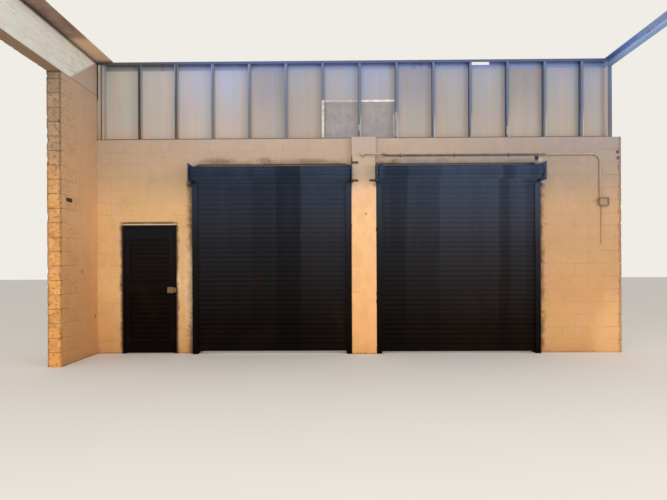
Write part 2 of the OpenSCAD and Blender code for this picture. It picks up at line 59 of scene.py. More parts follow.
Stops = tuple[tuple[float, float, float, float], ...]
Stretches = tuple[tuple[float, float, float], ...]
Box = tuple[Vector, Vector]


class Axis(Enum):
    """Direction in which a run of blocks or a beam lies."""

    X = 0
    Y = 1
    Z = 2


def linear(colour: Colour) -> Colour:
    """Turns a screen colour, each part from 0 to 255, into the linear one that a shader takes."""
    shares = (part / 255 for part in colour)
    return tuple(c / 12.92 if c <= 0.04045 else ((c + 0.055) / 1.055) ** 2.4 for c in shares)


def math_method(operation: str, swapped: bool = False) -> Callable[..., "Term"]:
    """Makes a method that adds a Math node on a term and what stands beside it.

    Args:
        operation: What the node does.
        swapped: Whether the other value comes first.

    Returns:
        The method.
    """
    def method(term: "Term", *others: Any) -> "Term":
        """Adds the Math node."""
        values = (*others, term) if swapped else (term, *others)
        return term.owner.node("ShaderNodeMath", dict(enumerate(values)), operation=operation)
    return method


class Term:
    """One output in a node tree. Arithmetic on it adds Math nodes."""

    __add__ = __radd__ = math_method("ADD")
    __sub__ = math_method("SUBTRACT")
    __rsub__ = math_method("SUBTRACT", swapped=True)
    __mul__ = __rmul__ = math_method("MULTIPLY")
    __truediv__ = math_method("DIVIDE")
    __rtruediv__ = math_method("DIVIDE", swapped=True)
    __mod__ = math_method("FLOORED_MODULO")
    __rmod__ = math_method("FLOORED_MODULO", swapped=True)
    __pow__ = math_method("POWER")
    __rpow__ = math_method("POWER", swapped=True)
    __lt__ = math_method("LESS_THAN")
    __gt__ = math_method("GREATER_THAN")
    __abs__ = math_method("ABSOLUTE")
    at_least = math_method("MAXIMUM")
    at_most = math_method("MINIMUM")
    whole = math_method("FLOOR")

    def __init__(self, owner: "NodeTree", socket: bpy.types.NodeSocket | None) -> None:
        """Keeps the output and the tree that it belongs to."""
        self.owner = owner
        self.socket = socket

    def rise(self, low: Any, high: Any) -> "Term":
        """Goes smoothly from 0 at low to 1 at high, which may lie under low."""
        values = {"Value": self, "From Min": low, "From Max": high}
        return self.owner.node("ShaderNodeMapRange", values, interpolation_type="SMOOTHSTEP")

    def within(self, low: float, high: float, soft: float) -> "Term":
        """1 from low to high, fading to 0 over a soft distance on both sides."""
        return self.rise(low - soft, low) * self.rise(high + soft, high)


class NodeTree:
    """A tree of nodes that is being built."""

    def __init__(self, tree: bpy.types.NodeTree) -> None:
        """Keeps the tree."""
        self.tree = tree

    def node(self, kind: str, values: dict | None = None, output: int | str = 0, **settings: Any) -> Term:
        """Adds one node.

        Args:
            kind: The node's type.
            values: Values or terms for its inputs, by index or name. A list of terms goes into one input.
                A colour is a screen colour.
            output: The output to return.
            **settings: Its properties, set first. Those of a colour ramp are its stops.

        Returns:
            That output.
        """
        made = self.tree.nodes.new(kind)
        for name, value in settings.items():
            if name == "stops":
                self._set_stops(made.color_ramp, value)
            else:
                setattr(made, name, value)
        for key, value in (values or {}).items():
            socket = made.inputs[key]
            if isinstance(value, Term | list):
                for term in value if isinstance(value, list) else [value]:
                    self.tree.links.new(term.socket, socket)
            elif socket.type == "RGBA":
                socket.default_value = (*linear(value), 1)
            else:
                socket.default_value = value
        return Term(self, made.outputs[output] if made.outputs else None)

    @staticmethod
    def _set_stops(ramp: bpy.types.ColorRamp, stops: Stops) -> None:
        """Puts the given stops into a colour ramp.

        Args:
            ramp: The ramp.
            stops: The stops, each a place and a screen colour.
        """
        while len(ramp.elements) < len(stops):
            ramp.elements.new(1)
        for element, (place, *colour) in zip(ramp.elements, stops):
            element.position = place
            element.color = (*linear(colour), 1)


class Mixer(NodeTree):
    """Builds one finish as a Blender material."""

    def __init__(self, name: str) -> None:
        """Starts an empty material.

        Args:
            name: The material's name.
        """
        self.material = bpy.data.materials.new(name)
        self.material.use_nodes = True
        super().__init__(self.material.node_tree)
        self.tree.nodes.clear()
        self.point = self.node("ShaderNodeTexCoord", output="Object")
        split = self.node("ShaderNodeSeparateXYZ", {0: self.point}).socket.node
        self.x, self.y, self.z = (Term(self, out) for out in split.outputs)

    def ramp(self, share: Term, stops: Stops) -> Term:
        """Colour along a ramp."""
        return self.node("ShaderNodeValToRGB", {0: share}, stops=stops)

    def mix(self, share: Any, first: Any, second: Any) -> Term:
        """Mixes two colours. The share is that of the second one."""
        return self.node("ShaderNodeMix", {0: share, 6: first, 7: second}, 2, data_type="RGBA")

    def shade(self, colour: Any, factor: Term) -> Term:
        """Makes a colour darker or lighter by a factor."""
        colour = colour if isinstance(colour, Term) else linear(colour)
        return self.node("ShaderNodeVectorMath", {0: colour, "Scale": factor}, operation="SCALE")

    def grain(self, scale: float, detail: float = 3, stretch: Sequence[float] = (1, 1, 1),
              shift: float = 0, rough: float = 0.55) -> Term:
        """Noise on the piece's own coordinates.

        Args:
            scale: Features a metre.
            detail: Number of finer layers.
            stretch: Factor on each axis; a small one draws the noise out along it.
            shift: Moves the pattern, so that two of them differ.
            rough: How strong the finer layers are.

        Returns:
            The noise, about 0.5 on average.
        """
        moved = {0: self.point, 1: tuple(stretch), 2: (shift, shift, shift)}
        stretched = self.node("ShaderNodeVectorMath", moved, operation="MULTIPLY_ADD")
        values = {"Vector": stretched, "Scale": scale, "Detail": detail, "Roughness": rough}
        return self.node("ShaderNodeTexNoise", values)

    def per_course(self, course: float) -> Term:
        """A value from 0 to 1 that differs from one course of blocks to the next."""
        level = (self.z / course).whole() + 0.5
        return self.node("ShaderNodeTexWhiteNoise", {"W": level}, "Value", noise_dimensions="1D")

    def outside(self, gap: "Opening") -> Term:
        """Distance outside an opening of the wall's face, to its sides and above it.

        Args:
            gap: The opening. Where its upward share is small, heights above it count for more.

        Returns:
            The distance, 0 inside.
        """
        across = (gap.x0 - self.x).at_least(self.x - gap.x1).at_least(0)
        above = ((self.z - gap.top) / gap.upward).at_least(0)
        return (across * across + above * above) ** 0.5

    def spot(self, mark: "Smudge") -> Term:
        """A ragged patch on a wall's face.

        Args:
            mark: Its place, size and raggedness.

        Returns:
            1 in the middle of the patch, 0 outside.
        """
        run = self.y if mark.along is Axis.Y else self.x
        across = abs((run - mark.at) / mark.half_w)
        above = abs((self.z - mark.z) / mark.half_h)
        power, full = (6, 0.9) if mark.square else (2, 0.5)
        torn = self.grain(2.2 / min(mark.half_w, mark.half_h), 2, shift=mark.at + mark.z)
        distance = (across ** power + above ** power) ** (1 / power)
        return (distance + (torn - 0.5) * 2 * mark.ragged).rise(1.1, full)

    def bump(self, height: Term, distance: float, strength: float) -> Term:
        """Normal of a surface whose heights are the given share of a distance."""
        return self.node("ShaderNodeBump", {"Height": height, "Distance": distance, "Strength": strength})

    def surface(self, colour: Any, roughness: Any, metallic: Any = 0.0, normal: Term | None = None,
                **constants: Any) -> bpy.types.Material:
        """Closes the tree with one shader.

        Args:
            colour: Base colour.
            roughness: Roughness.
            metallic: Metallic share.
            normal: The bumped normal, if there is one.
            **constants: Other inputs of the shader, with spaces as underscores.

        Returns:
            The finished material.
        """
        values = {"Base Color": colour, "Roughness": roughness, "Metallic": metallic}
        values |= {name.replace("_", " "): value for name, value in constants.items()}
        if normal is not None:
            values["Normal"] = normal
        self.node("ShaderNodeOutputMaterial", {"Surface": self.node("ShaderNodeBsdfPrincipled", values)})
        return self.material


@dataclass(frozen=True)
class Finish:
    """A finish of the object, named after the record's slot that it stands for."""

    name: str
    made: ClassVar[dict[str, bpy.types.Material]] = {}

    @property
    def slot(self) -> str:
        """The record's material slot, which is the finish's name up to a stop."""
        return self.name.split(".")[0]

    def material(self) -> bpy.types.Material:
        """The finish as a material, which is built at its first use."""
        if self.name not in self.made:
            self.made[self.name] = self.build(Mixer(self.name + "_finish"))
        return self.made[self.name]

    def build(self, mix: Mixer) -> bpy.types.Material:
        """Builds the material.

        Args:
            mix: The empty tree.

        Returns:
            The finished material.
        """
        raise NotImplementedError


@dataclass(frozen=True)
class Opening:
    """A rectangle in the wall that was painted black, with overspray round it."""

    x0: float
    x1: float
    top: float
    spread: float
    strength: float
    upward: float = 1.0


@dataclass(frozen=True)
class Smudge:
    """A stain, bare patch or stroke on a wall's face."""

    at: float
    z: float
    half_w: float
    half_h: float
    colour: Colour
    share: float
    ragged: float = 0.5
    square: bool = False
    along: Axis = Axis.X


@dataclass(frozen=True)
class BlockPaint(Finish):
    """Old white paint on blocks, dusty low down, its tone holding painted light: greyer high up and warm
    lower down with light bounced from the floor.

    The face is the one that is seen, given by its axis, its place and the way inward from it.
    Joints, overspray and marks are kept to it. The joints' share is that of the dust in them, first
    in general and then near the wing wall.
    """

    stops: Stops
    top: float
    openings: tuple[Opening, ...] = ()
    smudges: tuple[Smudge, ...] = ()
    face: tuple[Axis, float, int] | None = None
    joints: tuple[float, float] = (0.28, 0.5)
    bare_from_x: float | None = None
    left_stops: Stops = ()
    right_stops: Stops = ()
    pink: Colour = (204, 160, 150)
    olive: Colour = (176, 152, 94)
    dust: Colour = (118, 78, 44)
    soot: Colour = (44, 34, 27)
    bare: Colour = (112, 78, 50)

    def colour(self, mix: Mixer) -> Term:
        """The paint's colour, apart from what is bare.

        Args:
            mix: The tree.

        Returns:
            The colour.
        """
        # The tone by height is painted light: warm light bounced from the floor low down, greyer high up.
        tone = mix.ramp(mix.z / self.top, self.stops)
        # The left and right stretches have stops of their own: lighter at the left, painted light against
        # the wing wall's shade, and darker and greyer high up at the right, painted shade.
        for start, end, stops in ((-2.6, -3.0, self.left_stops), (0.0, 3.2, self.right_stops)):
            if stops:
                tone = mix.mix(mix.x.rise(start, end), tone, mix.ramp(mix.z / self.top, stops))
        cloudy = mix.grain(0.9, 4, (1, 1, 1.3))
        mottled = mix.grain(7, 4, shift=3)
        spotted = mix.grain(19, 3, (1, 1, 0.8), shift=6)
        drawn_down = mix.grain(9, 3, (1, 1, 0.12), shift=8)
        block = mix.node("ShaderNodeAttribute", output="Fac", attribute_name="block_tone")
        level = 0.78 + cloudy * 0.15 + mottled * 0.14 + spotted * 0.1 + drawn_down * 0.05 + block * 0.012
        colour = mix.shade(tone, level)
        hue = mix.grain(4.2, 3, (1, 1, 0.6), shift=61)
        colour = mix.mix(hue.rise(0.52, 0.64) * 0.17, colour, self.pink)
        colour = mix.mix(hue.rise(0.48, 0.36) * 0.17, colour, self.olive)
        rusty = mix.grain(3.1, 5, (1, 1, 0.6), shift=21).rise(0.6, 0.78)
        colour = mix.mix(rusty * 0.14, colour, self.bare)
        dirty_low = mix.z.rise(0.16, 0.0) * (0.2 + mottled * 0.8)
        # The dark foot is painted ground shadow where the wall meets the floor, in the dust's colour.
        foot = (mix.z + (spotted - 0.5) * 0.05).rise(0.035, 0.01)
        specks = mix.grain(48, 3, shift=47).rise(0.57, 0.68) * mix.z.rise(0.26, 0.04)
        colour = mix.mix((dirty_low * 0.2 + foot * 0.35 + specks * 0.5).at_most(1), colour, self.dust)
        deep = self._depth(mix)
        colour = self._joints(mix, colour, deep)
        near_face = deep.rise(0.09, 0.05)
        colour = self._overspray(mix, colour, near_face)
        for mark in self.smudges:
            colour = mix.mix(mix.spot(mark) * near_face * mark.share, colour, mark.colour)
        return colour

    def _depth(self, mix: Mixer) -> Term:
        """Depth behind the face, or nothing at all where no face is given."""
        if self.face is None:
            return mix.x * 0
        axis, place, inward = self.face
        return ((mix.y if axis is Axis.Y else mix.x) - place) * inward

    def build(self, mix: Mixer) -> bpy.types.Material:
        """Builds the paint."""
        colour, bare = self._bare_edge(mix, self.colour(mix))
        rough = 0.78 + mix.grain(7, 4, shift=3) * 0.16
        fine = mix.grain(120, 5, shift=5, rough=0.7)
        coarse = mix.grain(28, 4, shift=9, rough=0.65)
        pits = mix.grain(60, 2, shift=14).rise(0.66, 0.8)
        height = coarse * 0.7 + fine * 0.35 - pits * 0.6 - bare * 0.8
        return mix.surface(colour, rough, normal=mix.bump(height, 0.0035, 0.75))

    def _joints(self, mix: Mixer, colour: Term, deep: Term) -> Term:
        """Darkens the joints, which lie a little behind the blocks' faces.

        Args:
            mix: The tree.
            colour: The colour so far.
            deep: Depth behind the face.

        Returns:
            The colour with the joints in it.
        """
        if self.face is None or not any(self.joints):
            return colour
        general, near_wing = self.joints
        pocket = deep.within(0.0013, 0.02, 0.0008)
        kept = mix.grain(2.3, 3, shift=31).rise(0.38, 0.62)
        share = mix.x.rise(-2.6, -3.2) * (near_wing - general) + general
        worn = mix.z.rise(2.6, 1.5) * 0.45 + 0.55
        return mix.mix(pocket * kept * share * worn, colour, self.dust)

    def _overspray(self, mix: Mixer, colour: Term, near_face: Term) -> Term:
        """Adds the black overspray round what was painted black.

        Args:
            mix: The tree.
            colour: The colour so far.
            near_face: 1 at the face, 0 deep behind it.

        Returns:
            The colour with the overspray on it.
        """
        cloud = mix.grain(6.5, 4, shift=40) + mix.grain(24, 3, shift=42) * 0.5
        speck = mix.grain(70, 2, shift=44)
        for gap in self.openings:
            distance = mix.outside(gap)
            reach = gap.spread * (cloud * 1.8 - 0.35)
            near = (distance / reach.at_least(0.004)).rise(1.0, 0.0) * (0.75 + speck * 0.5) * near_face
            colour = mix.mix((near * gap.strength).at_most(1), colour, self.soot)
        return colour

    def _bare_edge(self, mix: Mixer, colour: Term) -> tuple[Term, Term | float]:
        """Takes the paint off along the wall's free end.

        Args:
            mix: The tree.
            colour: The colour so far.

        Returns:
            The colour, and the share of it that is bare.
        """
        if self.bare_from_x is None:
            return colour, 0.0
        torn = mix.grain(11, 4, (1, 1, 0.7), shift=50)
        bare = (mix.x + torn * 0.1).rise(self.bare_from_x + 0.05, self.bare_from_x + 0.07)
        raw = mix.shade(self.bare, 0.9 + mix.grain(40, 3, shift=53) * 0.6)
        return mix.mix(bare * 0.45, colour, raw), bare


@dataclass(frozen=True)
class RoughBlock(Finish):
    """Broken block ends under old paint, with dark pits."""

    stops: Stops
    top: float
    front: float
    sides: tuple[float, float]
    painted: BlockPaint
    course: float = 0.205
    paint: Colour = (240, 192, 140)
    pit: Colour = (84, 56, 34)

    def build(self, mix: Mixer) -> bpy.types.Material:
        """Builds the finish, which is painted on the blocks' side faces."""
        # The tone by height is painted light: warm light bounced from the floor low down, darker high up.
        tone = mix.ramp(mix.z / self.top, self.stops)
        coarse = mix.grain(13, 5, shift=2, rough=0.7)
        fine = mix.grain(75, 4, shift=4, rough=0.7)
        level = 0.64 + coarse * 0.4 + fine * 0.24 + mix.per_course(self.course) * 0.12
        colour = mix.shade(tone, level)
        painted = mix.grain(9, 4, shift=6).rise(0.54, 0.62) * mix.z.rise(3.4, 1.6)
        colour = mix.mix(painted * 0.35, colour, self.paint)
        inside = (mix.x - self.sides[0]).at_most(self.sides[1] - mix.x)
        at_front = mix.y.rise(self.front + 0.06, self.front + 0.03)
        rim = (inside + (coarse - 0.5) * 0.03).rise(0.034, 0.012) * at_front
        colour = mix.shade(colour, 1 - rim * 0.35)
        soft_line = (mix.z + (coarse - 0.5) * 0.05) % self.course
        joint = abs(soft_line - self.course / 2).rise(self.course / 2 - 0.04, self.course / 2 - 0.004)
        colour = mix.shade(colour, 1 - joint * at_front * 0.06)
        hollows = mix.grain(8, 3, (1, 1, 1.3), shift=71).rise(0.52, 0.64) * 0.5
        pits = (mix.grain(20, 4, shift=11, rough=0.65).rise(0.55, 0.68) + hollows).at_most(1)
        colour = mix.mix(pits * 0.5, colour, self.pit)
        # A dark band at the top: the mortar line under the beam, with painted shade there.
        shaded_edge = mix.z.rise(self.top - 0.03, self.top - 0.012)
        colour = mix.mix(shaded_edge * 0.6, colour, self.pit)
        side = inside.rise(0.012, 0.007) * mix.y.rise(self.front + 0.012, self.front + 0.03)
        colour = mix.mix(side, colour, self.painted.colour(mix))
        height = coarse + fine * 0.4 - pits * 1.2
        return mix.surface(colour, 0.92, normal=mix.bump(height, 0.008, 0.8))


@dataclass(frozen=True)
class BeamPaint(Finish):
    """Whitewashed concrete with the marks of its form's boards, and a tan painted shadow next to the wall.

    The painted shadow begins at a slope, given with a point of its edge by its places along Y and Z.
    """

    underside: float
    top: float
    wash: Colour = (230, 227, 217)
    green: Colour = (214, 218, 200)
    pink: Colour = (226, 212, 206)
    grime: Colour = (140, 130, 118)
    # The gap colour is painted shadow under the plate; the tan is painted shadow near the wall and also the
    # stains' colour.
    gap: Colour = (70, 62, 53)
    tan: Colour = (186, 164, 146)
    soffit: Colour = (158, 130, 104)
    soffit_warm: Colour = (166, 136, 112)
    shadow_slope: float = 0.705
    wash_end: tuple[float, float] = (-0.116, 4.737)
    board: float = 0.11

    def build(self, mix: Mixer) -> bpy.types.Material:
        """Builds the finish."""
        streak = mix.grain(9, 4, (1, 0.06, 1), shift=3)
        cloudy = mix.grain(1.6, 4, shift=7)
        share = (mix.z - self.underside) / (self.top - self.underside)
        tint = mix.grain(8, 3, (1, 0.3, 1), shift=41)
        wash = mix.mix(tint.rise(0.5, 0.62) * 0.4, self.wash, self.green)
        wash = mix.mix(tint.rise(0.46, 0.34) * 0.4, wash, self.pink)
        # Painted light: the wash grows lighter toward the top, against the plate's shade there.
        wash = mix.shade(wash, 1 + share.rise(0.3, 0.9) * 0.14)
        lines = mix.grain(46, 4, (1, 0.07, 1), shift=23).rise(0.55, 0.68)
        specks = mix.grain(40, 3, (1, 0.4, 1), shift=29).rise(0.6, 0.7)
        wash = mix.mix((lines * 0.3 + specks * 0.35).at_most(1), wash, self.grime)
        # Past a sloping edge the face turns tan: a painted shadow near the wall.
        end_y, end_z = self.wash_end
        past = (mix.y - end_y) * self.shadow_slope + (end_z - mix.z)
        side = mix.mix((past + (cloudy - 0.5) * 0.08).rise(-0.03, 0.03), wash, self.tan)
        # A dark band along the top is painted shadow under the plate.
        side = mix.mix(share.rise(0.9, 0.99) * 0.85, side, self.gap)
        under = mix.mix(mix.y.rise(-1.9, -0.9), self.soffit, self.soffit_warm)
        is_soffit = mix.z.rise(self.underside + 0.02, self.underside + 0.004)
        colour = mix.mix(is_soffit, side, under)
        colour = mix.shade(colour, 0.82 + streak * 0.22 + cloudy * 0.12)
        half_board = self.board / 2
        seams = abs((mix.z - self.underside) % self.board - half_board).rise(half_board - 0.005, half_board)
        stain = mix.grain(4, 5, shift=13).rise(0.62, 0.75)
        colour = mix.mix(stain * 0.2, colour, self.tan)
        fine = mix.grain(90, 4, shift=17)
        height = fine * 0.4 + cloudy * 0.5 + streak * 0.3 - seams * 0.3
        return mix.surface(colour, 0.86, normal=mix.bump(height, 0.004, 0.7))


@dataclass(frozen=True)
class HeightPaint(Finish):
    """Paint whose tone follows the height, with clouds, streaks, dirt and an edge strip of its own tone,
    painted shade by default and painted light where a lighter tone is given.

    The strip lies up to a place along X and above a height.
    """

    low_z: float
    high_z: float
    stops: Stops
    dirt: Colour
    dirt_share: float
    gloss: float
    shaded_edge: tuple[float, float]
    shaded_edge_tone: Colour = (34, 29, 26)

    def build(self, mix: Mixer) -> bpy.types.Material:
        """Builds the finish."""
        colour = mix.ramp((mix.z - self.low_z) / (self.high_z - self.low_z), self.stops)
        cloudy = mix.grain(4, 4, (1, 1, 0.5), shift=6)
        streak = mix.grain(20, 3, (1, 1, 0.1), shift=9)
        colour = mix.shade(colour, 0.8 + cloudy * 0.24 + streak * 0.16)
        dirty = mix.grain(9, 5, (1, 1, 0.5), shift=15).rise(0.55, 0.7)
        colour = mix.mix(dirty * self.dirt_share, colour, self.dirt)
        # The edge strip's tone is painted shade in the trim's gap and painted light on the post's shaded
        # side face.
        shaded_edge_x, shaded_edge_z = self.shaded_edge
        above = (mix.z + cloudy * 0.06).rise(shaded_edge_z, shaded_edge_z + 0.06)
        colour = mix.mix(mix.x.rise(shaded_edge_x + 0.006, shaded_edge_x - 0.002) * above, colour, self.shaded_edge_tone)
        bumps = mix.bump(mix.grain(110, 3, shift=19) - dirty * 0.4, 0.0008, 0.6)
        return mix.surface(colour, self.gloss + streak * 0.2, normal=bumps)


@dataclass(frozen=True)
class RustySteel(Finish):
    """Brown dusty steel, warmer along its outer edge next to the wall."""

    inner_x: float
    outer_x: float
    dark: Colour = (136, 112, 99)
    light: Colour = (172, 148, 132)
    warm: Colour = (255, 220, 186)
    pale: Colour = (196, 178, 160)

    def build(self, mix: Mixer) -> bpy.types.Material:
        """Builds the finish."""
        cloudy = mix.grain(3.5, 5, shift=2)
        fine = mix.grain(60, 4, shift=5, rough=0.7)
        colour = mix.mix(cloudy.rise(0.35, 0.65), self.dark, self.light)
        colour = mix.mix(mix.y.rise(-1.1, -0.6) * 0.25, colour, self.warm)
        edge = mix.x.rise(self.outer_x - 0.16, self.outer_x - 0.1) * mix.y.rise(-1.0, -0.7)
        colour = mix.mix(edge * 0.8, colour, self.warm)
        inner = mix.x.within(self.inner_x, self.inner_x + 0.035, 0.012)
        colour = mix.mix(inner * 0.7, colour, self.pale)
        marks = mix.grain(7, 3, shift=12).rise(0.68, 0.74)
        colour = mix.mix(marks * 0.7, mix.shade(colour, 0.8 + fine * 0.4), (52, 34, 26))
        return mix.surface(colour, 0.75 + fine * 0.2, 0.1, mix.bump(fine, 0.0015, 0.6))


@dataclass(frozen=True)
class BluePaint(Finish):
    """Blue-grey paint on a rolled steel channel, with a painted highlight along its upper flange."""

    low_z: float
    high_z: float
    blue: Colour = (150, 186, 238)
    lilac: Colour = (208, 220, 250)
    chalk: Colour = (234, 236, 244)
    rust: Colour = (86, 84, 110)

    def build(self, mix: Mixer) -> bpy.types.Material:
        """Builds the finish."""
        share = (mix.z - self.low_z) / (self.high_z - self.low_z)
        middle = share.within(0.3, 0.62, 0.12)
        colour = mix.mix(middle * 0.8, self.blue, self.lilac)
        # A painted highlight along the upper flange.
        edge = share.within(0.88, 1.1, 0.05) * mix.y.rise(-0.5, -1.1)
        streak = mix.grain(8, 4, (1, 0.05, 1), shift=4)
        colour = mix.mix((edge * (0.5 + streak)).at_most(1) * 0.7, colour, self.chalk)
        chips = mix.grain(12, 5, (1, 0.3, 1), shift=9).rise(0.64, 0.7)
        near_wall = 1 - mix.y.rise(-0.6, -0.1) * 0.35
        colour = mix.mix(chips * 0.4, mix.shade(colour, (0.8 + streak * 0.4) * near_wall), self.rust)
        fine = mix.grain(70, 3, shift=6)
        return mix.surface(colour, 0.5 + fine * 0.2, normal=mix.bump(fine - chips * 0.8, 0.001, 0.6))


@dataclass(frozen=True)
class Galvanised(Finish):
    """Zinc-coated track: dark front legs, paler behind, grey at the left and bluer to the right."""

    grey_to_x: float
    front_y: float
    low_z: float
    high_z: float
    front: Colour = (78, 92, 130)
    front_grey: Colour = (74, 78, 82)
    rear: Colour = (136, 150, 194)
    rear_grey: Colour = (136, 137, 138)
    sill: Colour = (120, 88, 66)
    grime: Colour = (60, 54, 52)

    def build(self, mix: Mixer) -> bpy.types.Material:
        """Builds the finish."""
        blue = mix.x.rise(self.grey_to_x - 0.6, self.grey_to_x + 0.6)
        at_front = mix.y.rise(self.front_y + 0.03, self.front_y + 0.01)
        front = mix.mix(blue, self.front_grey, self.front)
        colour = mix.mix(at_front, mix.mix(blue, self.rear_grey, self.rear), front)
        colour = mix.mix(mix.z.rise(self.low_z + 0.1, self.low_z + 0.02), colour, self.sill)
        spangle = mix.node("ShaderNodeTexVoronoi", {"Vector": mix.point, "Scale": 90.0}, "Color")
        spangled = mix.node("ShaderNodeSeparateXYZ", {0: spangle})
        streak = mix.grain(4, 4, (1, 1, 0.08), shift=3)
        colour = mix.shade(colour, 0.8 + spangled * 0.1 + streak * 0.3)
        dirty = mix.grain(5, 4, (1, 1, 0.4), shift=12).rise(0.58, 0.72)
        colour = mix.mix(dirty * 0.4, colour, self.grime)
        rough = 0.5 + streak * 0.2 + spangled * 0.1
        return mix.surface(colour, rough, 0.25, mix.bump(streak, 0.0006, 0.5))


@dataclass(frozen=True)
class StudSteel(Finish):
    """Painted studs, slate grey and bluer at their tops; the first ones are near black."""

    low_z: float
    high_z: float
    first_x: float
    pitch: float
    half_w: float
    front_y: float
    low: Colour = (104, 106, 114)
    middle: Colour = (100, 112, 134)
    top: Colour = (98, 116, 156)
    pale: Colour = (158, 180, 216)
    chalk: Colour = (204, 198, 190)
    black: Colour = (44, 52, 58)
    brown: Colour = (62, 50, 44)
    side_low: Colour = (190, 168, 148)
    side_high: Colour = (168, 168, 172)
    shown_to: float = 7.0

    def build(self, mix: Mixer) -> bpy.types.Material:
        """Builds the finish."""
        share = (mix.z - self.low_z) / (self.high_z - self.low_z)
        place = (mix.x - self.first_x) / self.pitch
        across = (mix.x - self.first_x + self.half_w) % self.pitch / (2 * self.half_w)
        stops = ((0.0, *self.low), (0.5, *self.middle), (0.86, *self.middle), (1.0, *self.top))
        colour = mix.ramp(share, stops)
        dark = mix.mix(share.rise(0.5, 0.1), self.black, self.brown)
        colour = mix.mix(place.rise(3.4, 1.3), colour, dark)
        streak = mix.grain(18, 4, (1, 1, 0.06), shift=2)
        colour = mix.shade(colour, 0.76 + streak * 0.48)
        some = place.within(1.6, 5.4, 0.05) * share.rise(0.4, 0.95)
        lit = across.within(-0.1, 0.3, 0.06) * some
        colour = mix.mix(lit * 0.5, colour, self.pale)
        # A painted highlight along the right edges of the right-hand studs, low down.
        worn = across.within(0.78, 1.1, 0.06) * place.rise(5.5, 6.5) * share.rise(0.42, 0.12)
        colour = mix.mix(worn * (0.4 + streak), colour, self.chalk)
        side = mix.mix(share, self.side_low, self.side_high)
        behind = mix.y.rise(self.front_y + 0.004, self.front_y + 0.012)
        colour = mix.mix(behind * place.rise(self.shown_to, self.shown_to - 0.8) * 0.85, colour, side)
        faint = place.rise(0.6, 0.4) * share.rise(0.985, 0.95) * (0.45 + across.rise(0.25, 0.5) * 0.5)
        colour = mix.mix(faint, colour, mix.shade(side, 0.86 + streak * 0.2))
        return mix.surface(colour, 0.6 + streak * 0.2, 0.1, mix.bump(streak, 0.0006, 0.5))


@dataclass(frozen=True)
class StreakedSheet(Finish):
    """Pale metal sheet with soft upright bands, bluish high up and pinkish low down.

    Each glow, a patch of painted light, and each dim stretch, of painted shade, is a place along X, half a
    width and a strength.
    """

    low_z: float
    high_z: float
    plain_to_x: float
    glows: Stretches = ()
    dims: Stretches = ()
    low: Colour = (190, 172, 158)
    middle: Colour = (178, 168, 166)
    high: Colour = (168, 172, 192)
    glow: Colour = (166, 180, 222)
    left_low: Colour = (190, 168, 148)
    left: Colour = (176, 170, 158)
    grime: Colour = (118, 104, 98)
    green: Colour = (168, 176, 170)

    def build(self, mix: Mixer) -> bpy.types.Material:
        """Builds the finish."""
        share = (mix.z - self.low_z) / (self.high_z - self.low_z)
        wide = mix.grain(2.2, 3, (1, 1, 0.05), shift=9)
        band = mix.grain(7, 3, (1, 1, 0.04), shift=12)
        thin = mix.grain(34, 3, (1, 1, 0.03), shift=15)
        height = share + (wide - 0.5) * 0.8
        colour = mix.ramp(height, ((0.0, *self.low), (0.45, *self.middle), (1.0, *self.high)))
        left = mix.mix(share.rise(0.35, 0.0), self.left, self.left_low)
        colour = mix.mix(mix.x.rise(self.plain_to_x + 0.4, self.plain_to_x - 0.4) * 0.85, colour, left)
        # Glows of painted bluish light.
        for at, half_w, strength in self.glows:
            torn = (wide - 0.5) * 0.5
            near = (abs(mix.x - at) / half_w + torn).rise(1.0, 0.2) * (share + torn).rise(0.0, 1.0)
            colour = mix.mix(near * strength, colour, self.glow)
        pink = mix.grain(4.4, 3, (1, 1, 0.1), shift=33)
        colour = mix.mix(pink.rise(0.48, 0.66) * 0.45, colour, self.low)
        colour = mix.mix(pink.rise(0.5, 0.34) * 0.35, colour, self.green)
        level = 1 - mix.x.rise(self.plain_to_x + 0.9, self.plain_to_x + 2.0) * 0.19
        # Dims of painted shade high up.
        for at, half_w, loss in self.dims:
            level = level * (1 - (abs(mix.x - at) / half_w).rise(1.1, 0.6) * share.rise(0.2, 0.8) * loss)
        colour = mix.shade(colour, level * (0.78 + wide * 0.08 + band * 0.22 + thin * 0.14))
        run = mix.grain(16, 4, (1, 1, 0.12), shift=22).rise(0.6, 0.74) * share.rise(1.0, 0.2)
        colour = mix.mix(run * 0.18, colour, self.grime)
        foot = share.rise(0.035, 0.0) * (0.3 + band)
        colour = mix.mix(foot.at_most(1) * 0.5, colour, self.grime)
        waves = mix.grain(1.8, 2, (1, 1, 0.6), shift=27)
        return mix.surface(colour, 0.6 + wide * 0.2, 0.0, mix.bump(waves + thin * 0.06, 0.02, 0.3))


